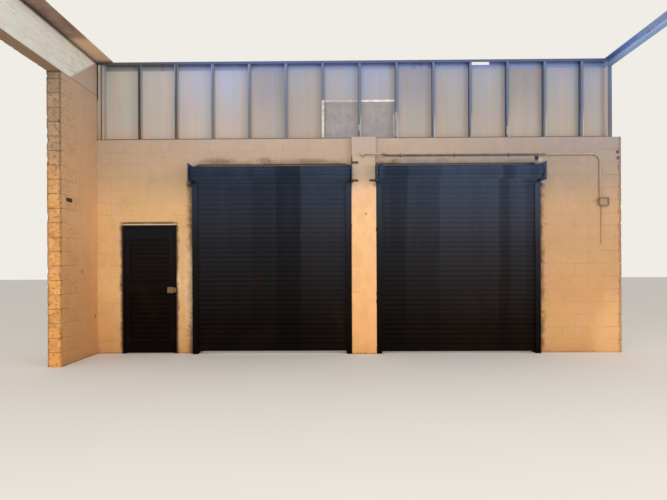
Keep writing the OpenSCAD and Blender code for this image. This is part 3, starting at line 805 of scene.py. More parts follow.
@dataclass(frozen=True)
class ShutterBlack(Finish):
    """Near-black sprayed paint on steel, bluish high up with a painted sheen, dusty brown near the floor.

    The level scales the whole paint, and each band, an upright stretch from one place to another,
    scales it again. Paint past the inner depth lies in shadow and is lighter by the given gain.
    """

    high_z: float
    stops: Stops
    level: float = 1.0
    bands: Stretches = ()
    inner: tuple[float, float] = (-2.0, 0.0)
    dust: Colour = (62, 34, 24)
    sheen: Colour = (66, 74, 98)

    def build(self, mix: Mixer) -> bpy.types.Material:
        """Builds the finish."""
        share = mix.z / self.high_z
        colour = mix.ramp(share, self.stops)
        deep, deep_gain = self.inner
        level = (mix.y.rise(deep, deep - 0.02) * deep_gain + 1) * self.level
        wide = mix.grain(3.2, 3, (1, 1, 0.05), shift=3)
        thin = mix.grain(22, 3, (1, 1, 0.04), shift=7)
        for start, end, gain in self.bands:
            level = level * (1 + (mix.x + (thin - 0.5) * 0.1).within(start, end, 0.05) * (gain - 1))
        colour = mix.shade(colour, level * (0.62 + wide * 0.4 + thin * 0.36))
        # Painted sheen: streaks of reflected light high up.
        sheen_streaks = wide.rise(0.52, 0.7) * share.rise(0.45, 1.0)
        colour = mix.mix(sheen_streaks * 0.2, colour, self.sheen)
        red = mix.grain(2.4, 4, (1, 1, 0.5), shift=11).rise(0.5, 0.7) * share.within(0.12, 0.5, 0.15)
        colour = mix.mix(red * 0.12, colour, self.dust)
        speck = mix.grain(110, 2, shift=19).rise(0.7, 0.8)
        colour = mix.mix(speck * share.rise(0.2, 0.0) * 0.5, colour, self.dust)
        fine = mix.grain(160, 3, shift=23)
        rough = 0.6 + thin * 0.2 + fine * 0.1
        return mix.surface(colour, rough, normal=mix.bump(fine, 0.0006, 0.5), Specular_IOR_Level=0.06)


@dataclass(frozen=True)
class PlainPaint(Finish):
    """One paint with clouds, streaks and rust or dirt in it."""

    main: Colour
    second: Colour
    dirt: Colour
    gloss: float
    dirt_share: float
    metal: float
    scale: float

    def build(self, mix: Mixer) -> bpy.types.Material:
        """Builds the finish."""
        cloudy = mix.grain(self.scale, 4, shift=4)
        streak = mix.grain(self.scale * 3, 3, (1, 1, 0.1), shift=9)
        colour = mix.mix(cloudy.rise(0.38, 0.64), self.main, self.second)
        colour = mix.shade(colour, 0.82 + streak * 0.36)
        dirty = mix.grain(self.scale * 2.2, 5, shift=15).rise(0.55, 0.68)
        colour = mix.mix(dirty * self.dirt_share, colour, self.dirt)
        fine = mix.grain(self.scale * 22, 3, shift=19)
        rough = self.gloss + streak * 0.15
        return mix.surface(colour, rough, self.metal, mix.bump(fine - dirty * 0.4, 0.0008, 0.6))


@dataclass(frozen=True)
class RunPaint(PlainPaint):
    """Conduit paint, black along one stretch where it was sprayed over and dirty beyond it."""

    black: Colour = (84, 77, 72)
    black_from: float = 0.0
    black_to: float = 1.0

    def build(self, mix: Mixer) -> bpy.types.Material:
        """Builds the finish."""
        cloudy = mix.grain(self.scale, 4, shift=4)
        colour = mix.mix(cloudy.rise(0.35, 0.65), self.main, self.second)
        torn = mix.grain(9, 3, shift=25)
        along = (mix.x + (torn - 0.5) * 0.5).within(self.black_from, self.black_to, 0.12)
        colour = mix.mix(along * (0.55 + torn * 0.6), colour, self.black)
        drop = mix.x.rise(self.black_to + 0.9, self.black_to + 1.0)
        colour = mix.mix(drop * self.dirt_share, colour, self.dirt)
        return mix.surface(colour, self.gloss, self.metal, mix.bump(mix.grain(90, 3), 0.0006, 0.6))


def new_object(name: str, data: bpy.types.ID) -> bpy.types.Object:
    """Links a new object that shows a mesh, a lamp or a camera."""
    made = bpy.data.objects.new(name, data)
    bpy.context.scene.collection.objects.link(made)
    return made


def plain_mesh(obj: bpy.types.Object) -> None:
    """Turns an object's modifiers into a plain mesh and removes them.

    Args:
        obj: The object, which keeps its name and materials.
    """
    ready = obj.evaluated_get(bpy.context.evaluated_depsgraph_get())
    mesh = bpy.data.meshes.new_from_object(ready)
    obj.modifiers.clear()
    obj.data = mesh
    mesh.name = obj.name


def bevel_edges(obj: bpy.types.Object, width: float, segments: int, harden: bool = False) -> None:
    """Bevels an object's edges and leaves a plain mesh.

    Args:
        obj: The object.
        width: Width of the bevels.
        segments: Faces across an edge.
        harden: Whether the faces next to an edge keep their own shading.
    """
    bevel = obj.modifiers.new("edges", "BEVEL")
    bevel.width = width
    bevel.segments = segments
    bevel.limit_method = "ANGLE"
    bevel.harden_normals = harden
    plain_mesh(obj)


def finish_piece(obj: bpy.types.Object, finish: Finish, body: str, *nodes: str) -> None:
    """Gives a piece its finish and body, and hides the nodes that it replaces.

    Args:
        obj: The piece.
        finish: Its finish.
        body: The body that it rides on.
        *nodes: The nodes that it replaces.
    """
    if not obj.data.materials:
        obj.data.materials.append(finish.material())
    else:
        obj.data.materials[0] = finish.material()
    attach(obj, body)
    if nodes:
        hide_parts(*nodes)
    log.info("%s: %d faces, on %s", obj.name, len(obj.data.polygons), body)


def dress_node(node: str, finish: Finish) -> None:
    """Puts a finish on a CAD node's own object."""
    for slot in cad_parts[node].material_slots:
        slot.material = finish.material()
    log.info("%s: dressed as %s", node, finish.name)


def rounded_copy(node: str, finish: Finish, radius: float, body: str = WALL, segments: int = 2) -> None:
    """Replaces a node by a copy with rounded edges.

    Args:
        node: The CAD node.
        finish: The copy's finish.
        radius: Radius of the edges.
        body: The body that it rides on.
        segments: Faces across an edge.
    """
    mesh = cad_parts[node].data.copy()
    work = bmesh.new()
    work.from_mesh(mesh)
    bmesh.ops.remove_doubles(work, verts=work.verts, dist=1e-5)
    bmesh.ops.dissolve_limit(work, angle_limit=math.radians(1), verts=work.verts, edges=work.edges)
    work.to_mesh(mesh)
    work.free()
    mesh.materials.clear()
    obj = new_object(node + "_piece", mesh)
    bevel_edges(obj, radius, segments, harden=True)
    finish_piece(obj, finish, body, node)


class TreeBuilder(NodeTree):
    """Builds one Geometry Nodes tree and puts it on objects."""

    def __init__(self, name: str, **inputs: Sequence[str]) -> None:
        """Starts a tree with named inputs.

        Args:
            name: The tree's name.
            **inputs: Names of its inputs, by type of socket.
        """
        super().__init__(bpy.data.node_groups.new(name, "GeometryNodeTree"))
        sides = self.tree.interface
        for kind, labels in {"Geometry": ["Geometry"], **inputs, "Material": ["Material"]}.items():
            for label in labels:
                sides.new_socket(label, in_out="INPUT", socket_type="NodeSocket" + kind)
        sides.new_socket("Geometry", in_out="OUTPUT", socket_type="NodeSocketGeometry")
        self.group_in = self.tree.nodes.new("NodeGroupInput")

    def given(self, label: str) -> Term:
        """The value of one of the tree's own inputs."""
        return Term(self, self.group_in.outputs[label])

    def vector(self, x: Any, y: Any, z: Any) -> Term:
        """A vector from its three parts."""
        return self.node("ShaderNodeCombineXYZ", {0: x, 1: y, 2: z})

    def draw(self, low: Any, high: Any, seed: Any) -> Term:
        """A random number between two others, drawn for each element."""
        return self.node("FunctionNodeRandomValue", {2: low, 3: high, "Seed": seed}, 1, data_type="FLOAT")

    def close(self, shape: Term) -> None:
        """Realizes the instances, sets the material and ends the tree.

        Args:
            shape: The geometry.
        """
        real = self.node("GeometryNodeRealizeInstances", {0: shape})
        done = self.node("GeometryNodeSetMaterial", {0: real, "Material": self.given("Material")})
        self.node("NodeGroupOutput", {0: done})

    def apply(self, obj: bpy.types.Object, values: dict[str, Any]) -> None:
        """Runs the tree on an object and leaves a plain mesh.

        Args:
            obj: The object.
            values: A value for each named input.
        """
        changed = obj.modifiers.new("made", "NODES")
        changed.node_group = self.tree
        for item in self.tree.interface.items_tree:
            if item.in_out == "INPUT" and item.name in values:
                changed[item.identifier] = values[item.name]
        plain_mesh(obj)


def mesh_object(name: str, work: bmesh.types.BMesh) -> bpy.types.Object:
    """Ends a mesh that is being built and links an object that shows it.

    Args:
        name: Name of the object.
        work: The mesh, which is freed.

    Returns:
        The object.
    """
    mesh = bpy.data.meshes.new(name)
    work.to_mesh(mesh)
    work.free()
    return new_object(name, mesh)


def point_object(name: str, points: Iterable[Sequence[float]]) -> bpy.types.Object:
    """An object of loose points.

    Args:
        name: Name of the object.
        points: Where they lie.

    Returns:
        The object.
    """
    mesh = bpy.data.meshes.new(name)
    mesh.from_pydata([tuple(p) for p in points], [], [])
    return new_object(name, mesh)


def add_box(work: bmesh.types.BMesh, low: Vector, high: Vector) -> None:
    """Adds a closed box, from its lowest to its highest corner, to a mesh that is being built."""
    size = Matrix.Diagonal((*(high - low), 1))
    bmesh.ops.create_cube(work, size=1, matrix=Matrix.Translation((low + high) / 2) @ size)


def box_object(name: str, boxes: Iterable[Box]) -> bpy.types.Object:
    """An object of closed boxes.

    Args:
        name: Name of the object.
        boxes: The boxes.

    Returns:
        The object.
    """
    work = bmesh.new()
    for low, high in boxes:
        add_box(work, low, high)
    return mesh_object(name, work)


def cut_boxes(obj: bpy.types.Object, boxes: Sequence[Box], grow: float) -> None:
    """Cuts boxes out of an object.

    Args:
        obj: The object.
        boxes: The boxes.
        grow: How much larger each is made, all round.
    """
    if not boxes:
        return
    more = Vector((grow, grow, grow))
    cutter = box_object("cutter", [(low - more, high + more) for low, high in boxes])
    made = obj.modifiers.new("gaps", "BOOLEAN")
    made.operation = "DIFFERENCE"
    made.solver = "EXACT"
    made.object = cutter
    plain_mesh(obj)
    bpy.data.objects.remove(cutter)


@dataclass(frozen=True)
class Run:
    """A wall with one free end, from its lowest corner to its highest.

    Its courses lie along X or Y, with an upright joint of the even ones at the given place. The
    free end is the high or the low one.
    """

    low: Vector
    high: Vector
    along: Axis
    joint_at: float
    at_high: bool


@dataclass
class Masonry:
    """Blocks in running bond."""

    course: float = 0.205
    half: float = 0.215
    joint: float = 0.004
    joint_depth: float = 0.0014
    edge: float = 0.0018
    uneven: float = 0.0006
    shortest: float = 0.02
    edge_face: float = 0.002
    end_at_least: float = 0.06
    tree: TreeBuilder = field(init=False)

    def __post_init__(self) -> None:
        """Builds the tree that lays the blocks."""
        self.tree = self._laying_tree()

    @staticmethod
    def _laying_tree() -> TreeBuilder:
        """The tree: one point a block, from its row and its place in the row."""
        lengths = ("Length", "Depth", "Base", "Top", "Course", "Half block", "First joint", "Joint",
                   "Uneven", "Shortest")
        counts = ("In row", "Rows", "First row", "Toothed low", "Toothed high", "Seed")
        t = TreeBuilder("running_bond", Float=lengths, Int=counts)
        length, half = t.given("Length"), t.given("Half block")
        in_row, seed = t.given("In row"), t.given("Seed")
        index = t.node("GeometryNodeInputIndex")
        row = ((index + 0.5) / in_row).whole()
        level = row + t.given("First row")
        start = half * ((index - row * in_row) * 2.0 - level % 2.0) + t.given("First joint")
        end = half * 2.0 + start
        low = level * t.given("Course")
        x0, x1 = Masonry._clipped(t, start, end, 0.0, length)
        z0, z1 = Masonry._clipped(t, low, low + t.given("Course"), t.given("Base"), t.given("Top"))
        width, height = x1 - x0, z1 - z0
        depth = t.given("Depth") - t.draw(0.0, t.given("Uneven"), seed) * 2.0
        points = t.node("GeometryNodePoints", {"Count": in_row * t.given("Rows")})
        centre = t.vector((x0 + x1) * 0.5, 0.0, (z0 + z1) * 0.5)
        placed = t.node("GeometryNodeSetPosition", {0: points, "Position": centre})
        sized = Masonry._stored(t, placed, "block_size", "FLOAT_VECTOR", t.vector(width, depth, height))
        short = width.at_most(height) < t.given("Shortest")
        past_low = (start < -SAME_PLACE) * t.given("Toothed low")
        past_high = (end - length > SAME_PLACE) * t.given("Toothed high")
        left_out = short.at_least(past_low.at_least(past_high))
        kept = t.node("GeometryNodeDeleteGeometry", {0: sized, "Selection": left_out})
        toned = Masonry._stored(t, kept, "block_tone", "FLOAT", t.draw(-1.0, 1.0, seed + 7.0))
        cube = t.node("GeometryNodeMeshCube", {"Size": (1.0, 1.0, 1.0)})
        scale = t.node("GeometryNodeInputNamedAttribute", {"Name": "block_size"}, data_type="FLOAT_VECTOR")
        t.close(t.node("GeometryNodeInstanceOnPoints", {0: toned, "Instance": cube, "Scale": scale}))
        return t

    @staticmethod
    def _stored(t: TreeBuilder, shape: Term, name: str, kind: str, value: Term) -> Term:
        """Stores a value of the given kind on the points of a shape."""
        values = {0: shape, "Name": name, "Value": value}
        return t.node("GeometryNodeStoreNamedAttribute", values, data_type=kind, domain="POINT")

    @staticmethod
    def _clipped(t: TreeBuilder, low: Term, high: Term, floor: Any, ceiling: Any) -> tuple[Term, Term]:
        """Takes half a joint off both ends of a block, apart from an end on the box's face.

        Args:
            t: The tree.
            low: The block's lower end, in the middle of a joint.
            high: Its upper end.
            floor: The box's lower face.
            ceiling: The box's upper face.

        Returns:
            Both ends.
        """
        half = t.given("Joint") * 0.5
        first = (low - floor > SAME_PLACE) * half + low
        last = high - (ceiling - high > SAME_PLACE) * half
        return first.at_least(floor), last.at_most(ceiling)

    def lay(self, name: str, run: Run, finish: Finish, seed: int,
            gaps: Sequence[Box] = ()) -> bpy.types.Object:
        """Lays a wall's blocks on a mortar core, toothed for the end blocks.

        Args:
            name: Name of the piece.
            run: The wall.
            finish: Its finish.
            seed: Seed of the small offsets and tones.
            gaps: Boxes that stay open, such as a doorway.

        Returns:
            The blocks and their mortar as one object, not yet on a body.
        """
        axis = run.along.value
        low, high = run.low.copy(), run.high.copy()
        if run.at_high:
            high[axis] = self.split(run)
        else:
            low[axis] = self.split(run)
        length = high[axis] - low[axis]
        block = 2 * self.half
        first_joint = (run.joint_at - low[axis]) % block - block
        first_row = math.floor(low.z / self.course + 1e-6)
        obj = point_object(name, [(0, 0, 0)])
        self.tree.apply(obj, {
            "Length": length, "Depth": high[1 - axis] - low[1 - axis], "Base": low.z, "Top": high.z,
            "Course": self.course, "Half block": self.half, "First joint": first_joint,
            "Joint": self.joint, "Uneven": self.uneven, "Shortest": self.shortest,
            "In row": math.ceil((length - first_joint) / block) + 1,
            "Rows": math.ceil(high.z / self.course - 1e-6) - first_row, "First row": first_row,
            "Toothed low": int(not run.at_high), "Toothed high": int(run.at_high), "Seed": seed,
            "Material": finish.material()})
        turn = Matrix.Rotation(math.pi / 2, 4, "Z") if run.along is Axis.Y else Matrix.Identity(4)
        start = (low + high) / 2
        start[axis], start.z = low[axis], 0
        obj.data.transform(Matrix.Translation(start) @ turn)
        cut_boxes(obj, gaps, 0)
        self._round(obj.data)
        inset = Vector([self.joint_depth] * 3)
        core_low, core_high = low + inset, high - inset
        if run.at_high:
            core_high[axis] = high[axis] + self.joint
        else:
            core_low[axis] = low[axis] - self.joint
        core = box_object(name + "_core", [(core_low, core_high)])
        cut_boxes(core, gaps, self.joint_depth)
        work = bmesh.new()
        work.from_mesh(obj.data)
        work.from_mesh(core.data)
        work.to_mesh(obj.data)
        work.free()
        bpy.data.objects.remove(core)
        return obj

    def _round(self, mesh: bpy.types.Mesh) -> None:
        """Rounds the edges of every block and leaves its faces flat.

        Args:
            mesh: The blocks' mesh.
        """
        work = bmesh.new()
        work.from_mesh(mesh)
        bmesh.ops.dissolve_limit(work, angle_limit=0.01, verts=work.verts, edges=work.edges)
        bmesh.ops.bevel(work, geom=work.edges[:], offset=self.edge, segments=2, profile=0.6,
                        affect="EDGES")
        for face in work.faces:
            face.smooth = face.calc_area() < self.edge_face
        work.to_mesh(mesh)
        work.free()

    def broken_ends(self, name: str, run: Run, wear: "Wear") -> bpy.types.Object:
        """Builds the end blocks of a wall, one a course, with broken outer arrises.

        Args:
            name: Name of the piece.
            run: The wall.
            wear: How the arrises are broken.

        Returns:
            The blocks with mortar between them as one object, not yet on a body.
        """
        axis = run.along.value
        corners = (0, 1) if run.at_high else (0, 3)
        work = bmesh.new()
        for row in range(math.ceil(run.high.z / self.course - 1e-6)):
            low, high = run.low.copy(), run.high.copy()
            low.z = row * self.course + (self.joint / 2 if row else 0)
            high.z = min(high.z, (row + 1) * self.course - self.joint / 2)
            if run.at_high:
                low[axis] = self.end_joint(run, row) + self.joint / 2
            else:
                high[axis] = self.end_joint(run, row) - self.joint / 2
            WornPrism(low, high, Axis.Z, wear, corners).add_to(work)
        inset = Vector([wear.uneven * 2 + 0.001] * 3)
        low, high = run.low + inset, run.high - inset
        deep = wear.near + wear.chip
        if run.at_high:
            low[axis], high[axis] = self.split(run), run.high[axis] - deep
        else:
            low[axis], high[axis] = run.low[axis] + deep, self.split(run)
        add_box(work, low, high)
        return mesh_object(name, work)

    def split(self, run: Run) -> float:
        """Place up to which a wall is laid, where the longer end blocks' teeth begin."""
        ends = [self.end_joint(run, row) for row in (0, 1)]
        return max(ends) if run.at_high else min(ends)

    def end_joint(self, run: Run, row: int) -> float:
        """Place of the last upright joint of a course, at least a short stretch from the free end.

        Args:
            run: The wall.
            row: The course.

        Returns:
            The place along the wall.
        """
        block = 2 * self.half
        first = run.joint_at - self.half * (row % 2)
        if run.at_high:
            inmost = run.high[run.along.value] - self.end_at_least
            return inmost - (inmost - first) % block
        inmost = run.low[run.along.value] + self.end_at_least
        return inmost + (first - inmost) % block


@dataclass(frozen=True)
class Wear:
    """How rough a bar's faces are and how its arrises are broken."""

    radius: float = 0.008
    chip: float = 0.012
    share: float = 0.4
    uneven: float = 0.0012
    seed: float = 0.0
    step: float = 0.012
    near: float = 0.03


@dataclass
class WornPrism:
    """A bar of rectangular section with rounded, broken arrises, drawn along one axis."""

    low: Vector
    high: Vector
    along: Axis
    wear: Wear
    worn: tuple[int, ...] = (0, 1, 2, 3)
    plain_radius: float = 0.002
    groove_pitch: float = 0.0
    groove: float = 0.002
    groove_w: float = 0.006
    waist: tuple[float, float, float] = (0.0, 0.0, 0.0)

    def _section(self) -> list[tuple[float, float, float, float, float]]:
        """Points round the section: two places, the outward direction and nearness to an arris."""
        first, second = (i for i in range(3) if i != self.along.value)
        lo = (self.low[first], self.low[second])
        hi = (self.high[first], self.high[second])
        corners = [(hi[0], lo[1], 1, -1), (hi[0], hi[1], 1, 1),
                   (lo[0], hi[1], -1, 1), (lo[0], lo[1], -1, -1)]
        arcs = []
        for k, (cx, cy, sx, sy) in enumerate(corners):
            radius = self.wear.radius if k in self.worn else self.plain_radius
            start = (k - 1) * math.pi / 2
            turns = [start + i * math.pi / 6 for i in range(4)]
            arcs.append([(cx - sx * radius + radius * math.cos(a), cy - sy * radius + radius * math.sin(a),
                          math.cos(a), math.sin(a), float(k in self.worn)) for a in turns])
        points = []
        for k, arc in enumerate(arcs):
            after = arcs[(k + 1) % 4]
            points += arc
            a, b = arc[-1], after[0]
            length = math.dist(a[:2], b[:2])
            count = max(1, min(14, int(length / (self.wear.step * 1.6))))
            for step in range(1, count):
                share = step / count
                near = max(a[4] * (1 - share * length / self.wear.near),
                           b[4] * (1 - (1 - share) * length / self.wear.near), 0.0)
                x, y = (a[i] + (b[i] - a[i]) * share for i in (0, 1))
                points.append((x, y, a[2], a[3], near))
        return points

    def _depth(self, place: Vector, height: float, near: float) -> float:
        """How far the surface is worn in at a place.

        Args:
            place: The place.
            height: Its place along the bar.
            near: 1 at a worn arris, 0 far from it.

        Returns:
            The depth.
        """
        wear = self.wear
        rough = noise.noise(place * 9 + Vector((wear.seed, 0, 0))) * 0.5 + 0.5
        fine = noise.noise(place * 45 + Vector((0, wear.seed, 0))) * 0.5 + 0.5
        depth = wear.uneven * (rough + fine)
        broken = noise.noise(place * 14 + Vector((wear.seed, wear.seed, 3))) * 0.5 + 0.5
        broken = max(0.0, broken - (1 - wear.share)) / wear.share
        depth += near * wear.chip * broken * (0.6 + 0.8 * fine)
        if self.groove_pitch:
            away = abs((height + self.groove_pitch / 2) % self.groove_pitch - self.groove_pitch / 2)
            depth += self.groove * max(0.0, 1 - away / self.groove_w)
        waist_low, waist_high, waist = self.waist
        if waist:
            inside = min(height - waist_low, waist_high - height)
            depth += waist * min(1.0, max(0.0, inside / (waist * 3)))
        return depth

    def add_to(self, work: bmesh.types.BMesh) -> None:
        """Adds the bar to a mesh that is being built.

        Args:
            work: The mesh.
        """
        run = self.along.value
        first, second = (i for i in range(3) if i != run)
        section = self._section()
        length = self.high[run] - self.low[run]
        rings = max(2, round(length / self.wear.step))
        loops = []
        for ring in range(rings + 1):
            height = self.low[run] + length * ring / rings
            loop = []
            for a, b, out_a, out_b, near in section:
                place = Vector((0, 0, 0))
                place[run], place[first], place[second] = height, a, b
                depth = self._depth(place, height, near)
                place[first] -= out_a * depth
                place[second] -= out_b * depth
                loop.append(work.verts.new(place))
            loops.append(loop)
        faces = [work.faces.new(loops[0][::-1]), work.faces.new(loops[-1])]
        for below, above in zip(loops, loops[1:]):
            for i in range(len(section)):
                j = (i + 1) % len(section)
                side = work.faces.new((below[i], below[j], above[j], above[i]))
                side.smooth = True
                faces.append(side)
        bmesh.ops.recalc_face_normals(work, faces=faces)

    def build(self, name: str) -> bpy.types.Object:
        """Builds the bar as an object of its own, not yet on a body."""
        work = bmesh.new()
        self.add_to(work)
        return mesh_object(name, work)


class Head(Enum):
    """Kinds of head: its sides, its radius, its height and what a washer adds to the radius."""

    SCREW = (6, 0.0065, 0.003, 0.0005)
    BOLT = (6, 0.011, 0.008, 0.012)
    RIVET = (8, 0.006, 0.0025, 0.0)


@dataclass
class Fasteners:
    """Heads of screws, bolts and rivets at points of a face that looks one way."""

    washer_sides: int = 12
    washer_height: float = 0.002
    tree: TreeBuilder = field(init=False)

    def __post_init__(self) -> None:
        """Builds the tree that puts a head on each point."""
        t = TreeBuilder("fastener_heads", Int=("Sides", "Seed"), Float=("Radius", "Height", "Washer"),
                        Rotation=("Turn",))
        radius = t.given("Radius")
        washer = self._disc(t, self.washer_sides, radius + t.given("Washer"), self.washer_height)
        head = self._disc(t, t.given("Sides"), radius, t.given("Height"))
        both = t.node("GeometryNodeJoinGeometry", {0: [washer, head]})
        spin = t.vector(0, 0, t.draw(0.0, 1.0, t.given("Seed")))
        turns = {0: t.given("Turn"), 1: t.node("FunctionNodeEulerToRotation", {0: spin})}
        turn = t.node("FunctionNodeRotateRotation", turns, rotation_space="LOCAL")
        values = {0: t.given("Geometry"), "Instance": both, "Rotation": turn}
        t.close(t.node("GeometryNodeInstanceOnPoints", values))
        self.tree = t

    @staticmethod
    def _disc(t: TreeBuilder, sides: Any, radius: Any, height: Any) -> Term:
        """A flat prism with its foot at the origin.

        Args:
            t: The tree.
            sides: Number of sides.
            radius: Radius to the corners.
            height: Height.

        Returns:
            The prism.
        """
        values = {"Vertices": sides, "Radius": radius, "Depth": height}
        made = t.node("GeometryNodeMeshCylinder", values, "Mesh", fill_type="NGON")
        return t.node("GeometryNodeTransform", {0: made, "Translation": t.vector(0, 0, height * 0.5)})

    def fix(self, name: str, points: Iterable[Sequence[float]], toward: Sequence[float], head: Head,
            finish: Finish, body: str = WALL, seed: int = 1) -> None:
        """Puts a head on each point, all as one piece.

        Args:
            name: Name of the piece.
            points: Where the heads sit.
            toward: The way that they point.
            head: Kind of head.
            finish: Their finish.
            body: The body that they ride on.
            seed: Seed of their turns.
        """
        obj = point_object(name, points)
        turn = Vector((0, 0, 1)).rotation_difference(Vector(toward)).to_euler()
        sides, radius, height, washer = head.value
        self.tree.apply(obj, {"Sides": sides, "Radius": radius, "Height": height, "Washer": washer,
                              "Turn": tuple(turn), "Seed": seed, "Material": finish.material()})
        finish_piece(obj, finish, body)


def spread(start: float, end: float, pitch: float) -> list[float]:
    """Places from start to end, evenly spaced and about a pitch apart."""
    count = max(1, round((end - start) / pitch))
    return [start + (end - start) * i / count for i in range(count + 1)]


@dataclass
class BlockWall:
    """The cross wall's blocks, its pilaster and its worn free end."""

    masonry: Masonry
    joint_at: float = 2.985
    # Tones by height, painted light: warm light bounced from the floor low down and greyer shade high up.
    # The left stretch is lighter against the wing wall's shade, the right one darker high up, and the
    # pilaster's top lies in shade over its warm foot.
    wall_stops: Stops = (
        (0.0, 200, 143, 90), (0.12, 214, 157, 101), (0.45, 216, 163, 113), (0.68, 214, 168, 122),
        (0.82, 194, 162, 132), (1.0, 180, 160, 145))
    left_stops: Stops = (
        (0.0, 208, 150, 92), (0.12, 214, 162, 102), (0.3, 227, 181, 121), (0.48, 221, 174, 118),
        (0.68, 215, 173, 121), (0.82, 190, 159, 125), (1.0, 178, 156, 135))
    right_stops: Stops = (
        (0.0, 204, 150, 94), (0.13, 212, 159, 103), (0.26, 208, 154, 102), (0.45, 199, 152, 107),
        (0.68, 190, 152, 116), (0.82, 165, 143, 123), (1.0, 157, 145, 141))
    pilaster_stops: Stops = (
        (0.0, 236, 172, 106), (0.2, 246, 183, 119), (0.6, 240, 190, 134), (0.71, 240, 190, 143),
        (0.757, 233, 187, 147), (0.785, 216, 180, 140), (0.83, 193, 168, 146), (0.905, 190, 167, 147),
        (0.93, 182, 164, 152), (1.0, 178, 162, 152))
    nodes: tuple[str, ...] = ("wall_left_end", "wall_over_door", "door_pier", "centre_pier", "wall_right",
                              "lintel_course", "top_course")

    def _gaps(self) -> list[Box]:
        """The doorway and the two shutter openings, as boxes through the wall."""
        door_low, door_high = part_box("door_frame")
        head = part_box("lintel_course")[0].z
        edges = (("door_pier", "centre_pier"), ("centre_pier", "wall_right"))
        gaps = [(Vector((door_low.x, -1, -1)), Vector((door_high.x, 1, door_high.z)))]
        for left, right in edges:
            gaps.append((Vector((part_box(left)[1].x, -1, -1)), Vector((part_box(right)[0].x, 1, head))))
        return gaps

    def _openings(self) -> tuple[Opening, ...]:
        """The rectangles that were sprayed black; the strips just over the coils hold painted shade as
        well.
        """
        door_low, door_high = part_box("door_frame")
        found = [Opening(door_low.x, door_high.x, door_high.z, 0.06, 1.0)]
        for side in ("left", "right"):
            low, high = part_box(side + "_guides")
            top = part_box(side + "_end_plates")[1].z
            found.append(Opening(low.x, high.x, top - 0.16, 0.12, 0.8))
            coil_low, coil_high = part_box(side + "_coil")
            # Black just over each coil: overspray with painted shade of the dark gap over the coil.
            found.append(Opening(coil_low.x + 0.03, coil_high.x - 0.03, coil_high.z + 0.035, 0.1, 1.0, 0.5))
            found.append(Opening(coil_low.x + 0.1, coil_high.x - 0.1, coil_high.z + 0.03, 0.24, 0.5, 0.6))
        return tuple(found)

    def _smudges(self) -> tuple[Smudge, ...]:
        """Stains, bare patches and marks on the face."""
        door_low, door_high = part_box("door_frame")
        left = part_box("left_guides")[0].x
        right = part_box("right_guides")[1].x
        right_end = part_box("wall_right")[1].x
        black = (46, 34, 28)
        rust = (128, 78, 44)
        light = (238, 206, 166)
        return (
            Smudge(left - 0.06, 2.74, 0.07, 0.05, black, 0.75),
            Smudge(left - 0.03, 2.86, 0.05, 0.16, black, 0.5),
            Smudge(right + 0.02, 2.72, 0.05, 0.06, black, 0.7),
            Smudge(door_high.x + 0.035, 1.2, 0.03, 0.2, light, 0.5),
            Smudge(door_high.x + 0.03, 1.14, 0.012, 0.02, black, 0.75),
            Smudge(door_low.x - 0.04, 1.12, 0.02, 0.025, black, 0.5),
            Smudge(door_high.x + 0.2, 1.1, 0.09, 0.9, light, 0.35),
            Smudge(door_high.x + 0.04, 1.85, 0.02, 0.1, rust, 0.45),
            Smudge(door_high.x + 0.04, 0.75, 0.02, 0.05, rust, 0.4),
            Smudge(right_end - 0.06, 3.24, 0.03, 0.032, black, 0.9, 0.9),
            Smudge(right_end - 0.05, 3.14, 0.032, 0.04, black, 0.75, 1.2),
            Smudge(right_end - 0.045, 2.99, 0.022, 0.06, black, 0.45, 1.2),
            # A painted pool of warm light low at the free end.
            Smudge(right_end + 0.02, 0.24, 0.56, 0.82, (242, 188, 124), 0.52, 0.22),
            Smudge(right_end - 1.22, 2.08, 0.02, 0.02, rust, 0.7),
            Smudge(right_end - 0.35, 2.45, 0.12, 0.05, black, 0.25),
            Smudge(right_end - 1.305, 3.12, 0.045, 0.035, (214, 206, 200), 0.75, 0.3),
            Smudge(right_end - 1.275, 2.77, 0.035, 0.025, (206, 190, 172), 0.6, 0.3),
            Smudge(-2.38, 3.13, 0.3, 0.06, black, 0.35, 1.1),
            Smudge(-1.6, 3.13, 0.12, 0.06, black, 0.4, 1.1),
            Smudge(-0.86, 3.12, 0.36, 0.05, black, 0.3, 1.1),
            Smudge(0.52, 3.12, 0.08, 0.05, black, 0.4),
            Smudge(0.79, 3.12, 0.14, 0.04, black, 0.3),
            Smudge(1.28, 3.12, 0.14, 0.05, black, 0.45),
            Smudge(2.47, 3.11, 0.24, 0.03, black, 0.45),
            Smudge(1.7, 3.13, 1.2, 0.06, (152, 144, 138), 0.6, 0.3, True),
            Smudge((door_low.x + door_high.x) / 2, 2.103, 0.46, 0.009, light, 0.8, 0.3, True),
            Smudge((door_low.x + door_high.x) / 2, 2.135, 0.45, 0.014, (96, 62, 36), 0.8, 0.6, True),
        )

    def build(self) -> None:
        """Builds the blocks, the free end and the pilaster."""
        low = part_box("wall_left_end")[0]
        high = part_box("top_course")[1]
        paint = BlockPaint("wall_paint", self.wall_stops, high.z, self._openings(), self._smudges(),
                           (Axis.Y, low.y, 1), bare_from_x=high.x - 0.06, left_stops=self.left_stops,
                           right_stops=self.right_stops)
        run = Run(low, high, Axis.X, self.joint_at, True)
        wall = self.masonry.lay("wall_blocks", run, paint, 3, self._gaps())
        finish_piece(wall, paint, WALL, *self.nodes)
        wear = Wear(chip=0.014, share=0.4, uneven=0.0005, seed=4)
        end = self.masonry.broken_ends("wall_end_blocks", run, wear)
        finish_piece(end, paint, WALL)
        self._build_pilaster(low.y)

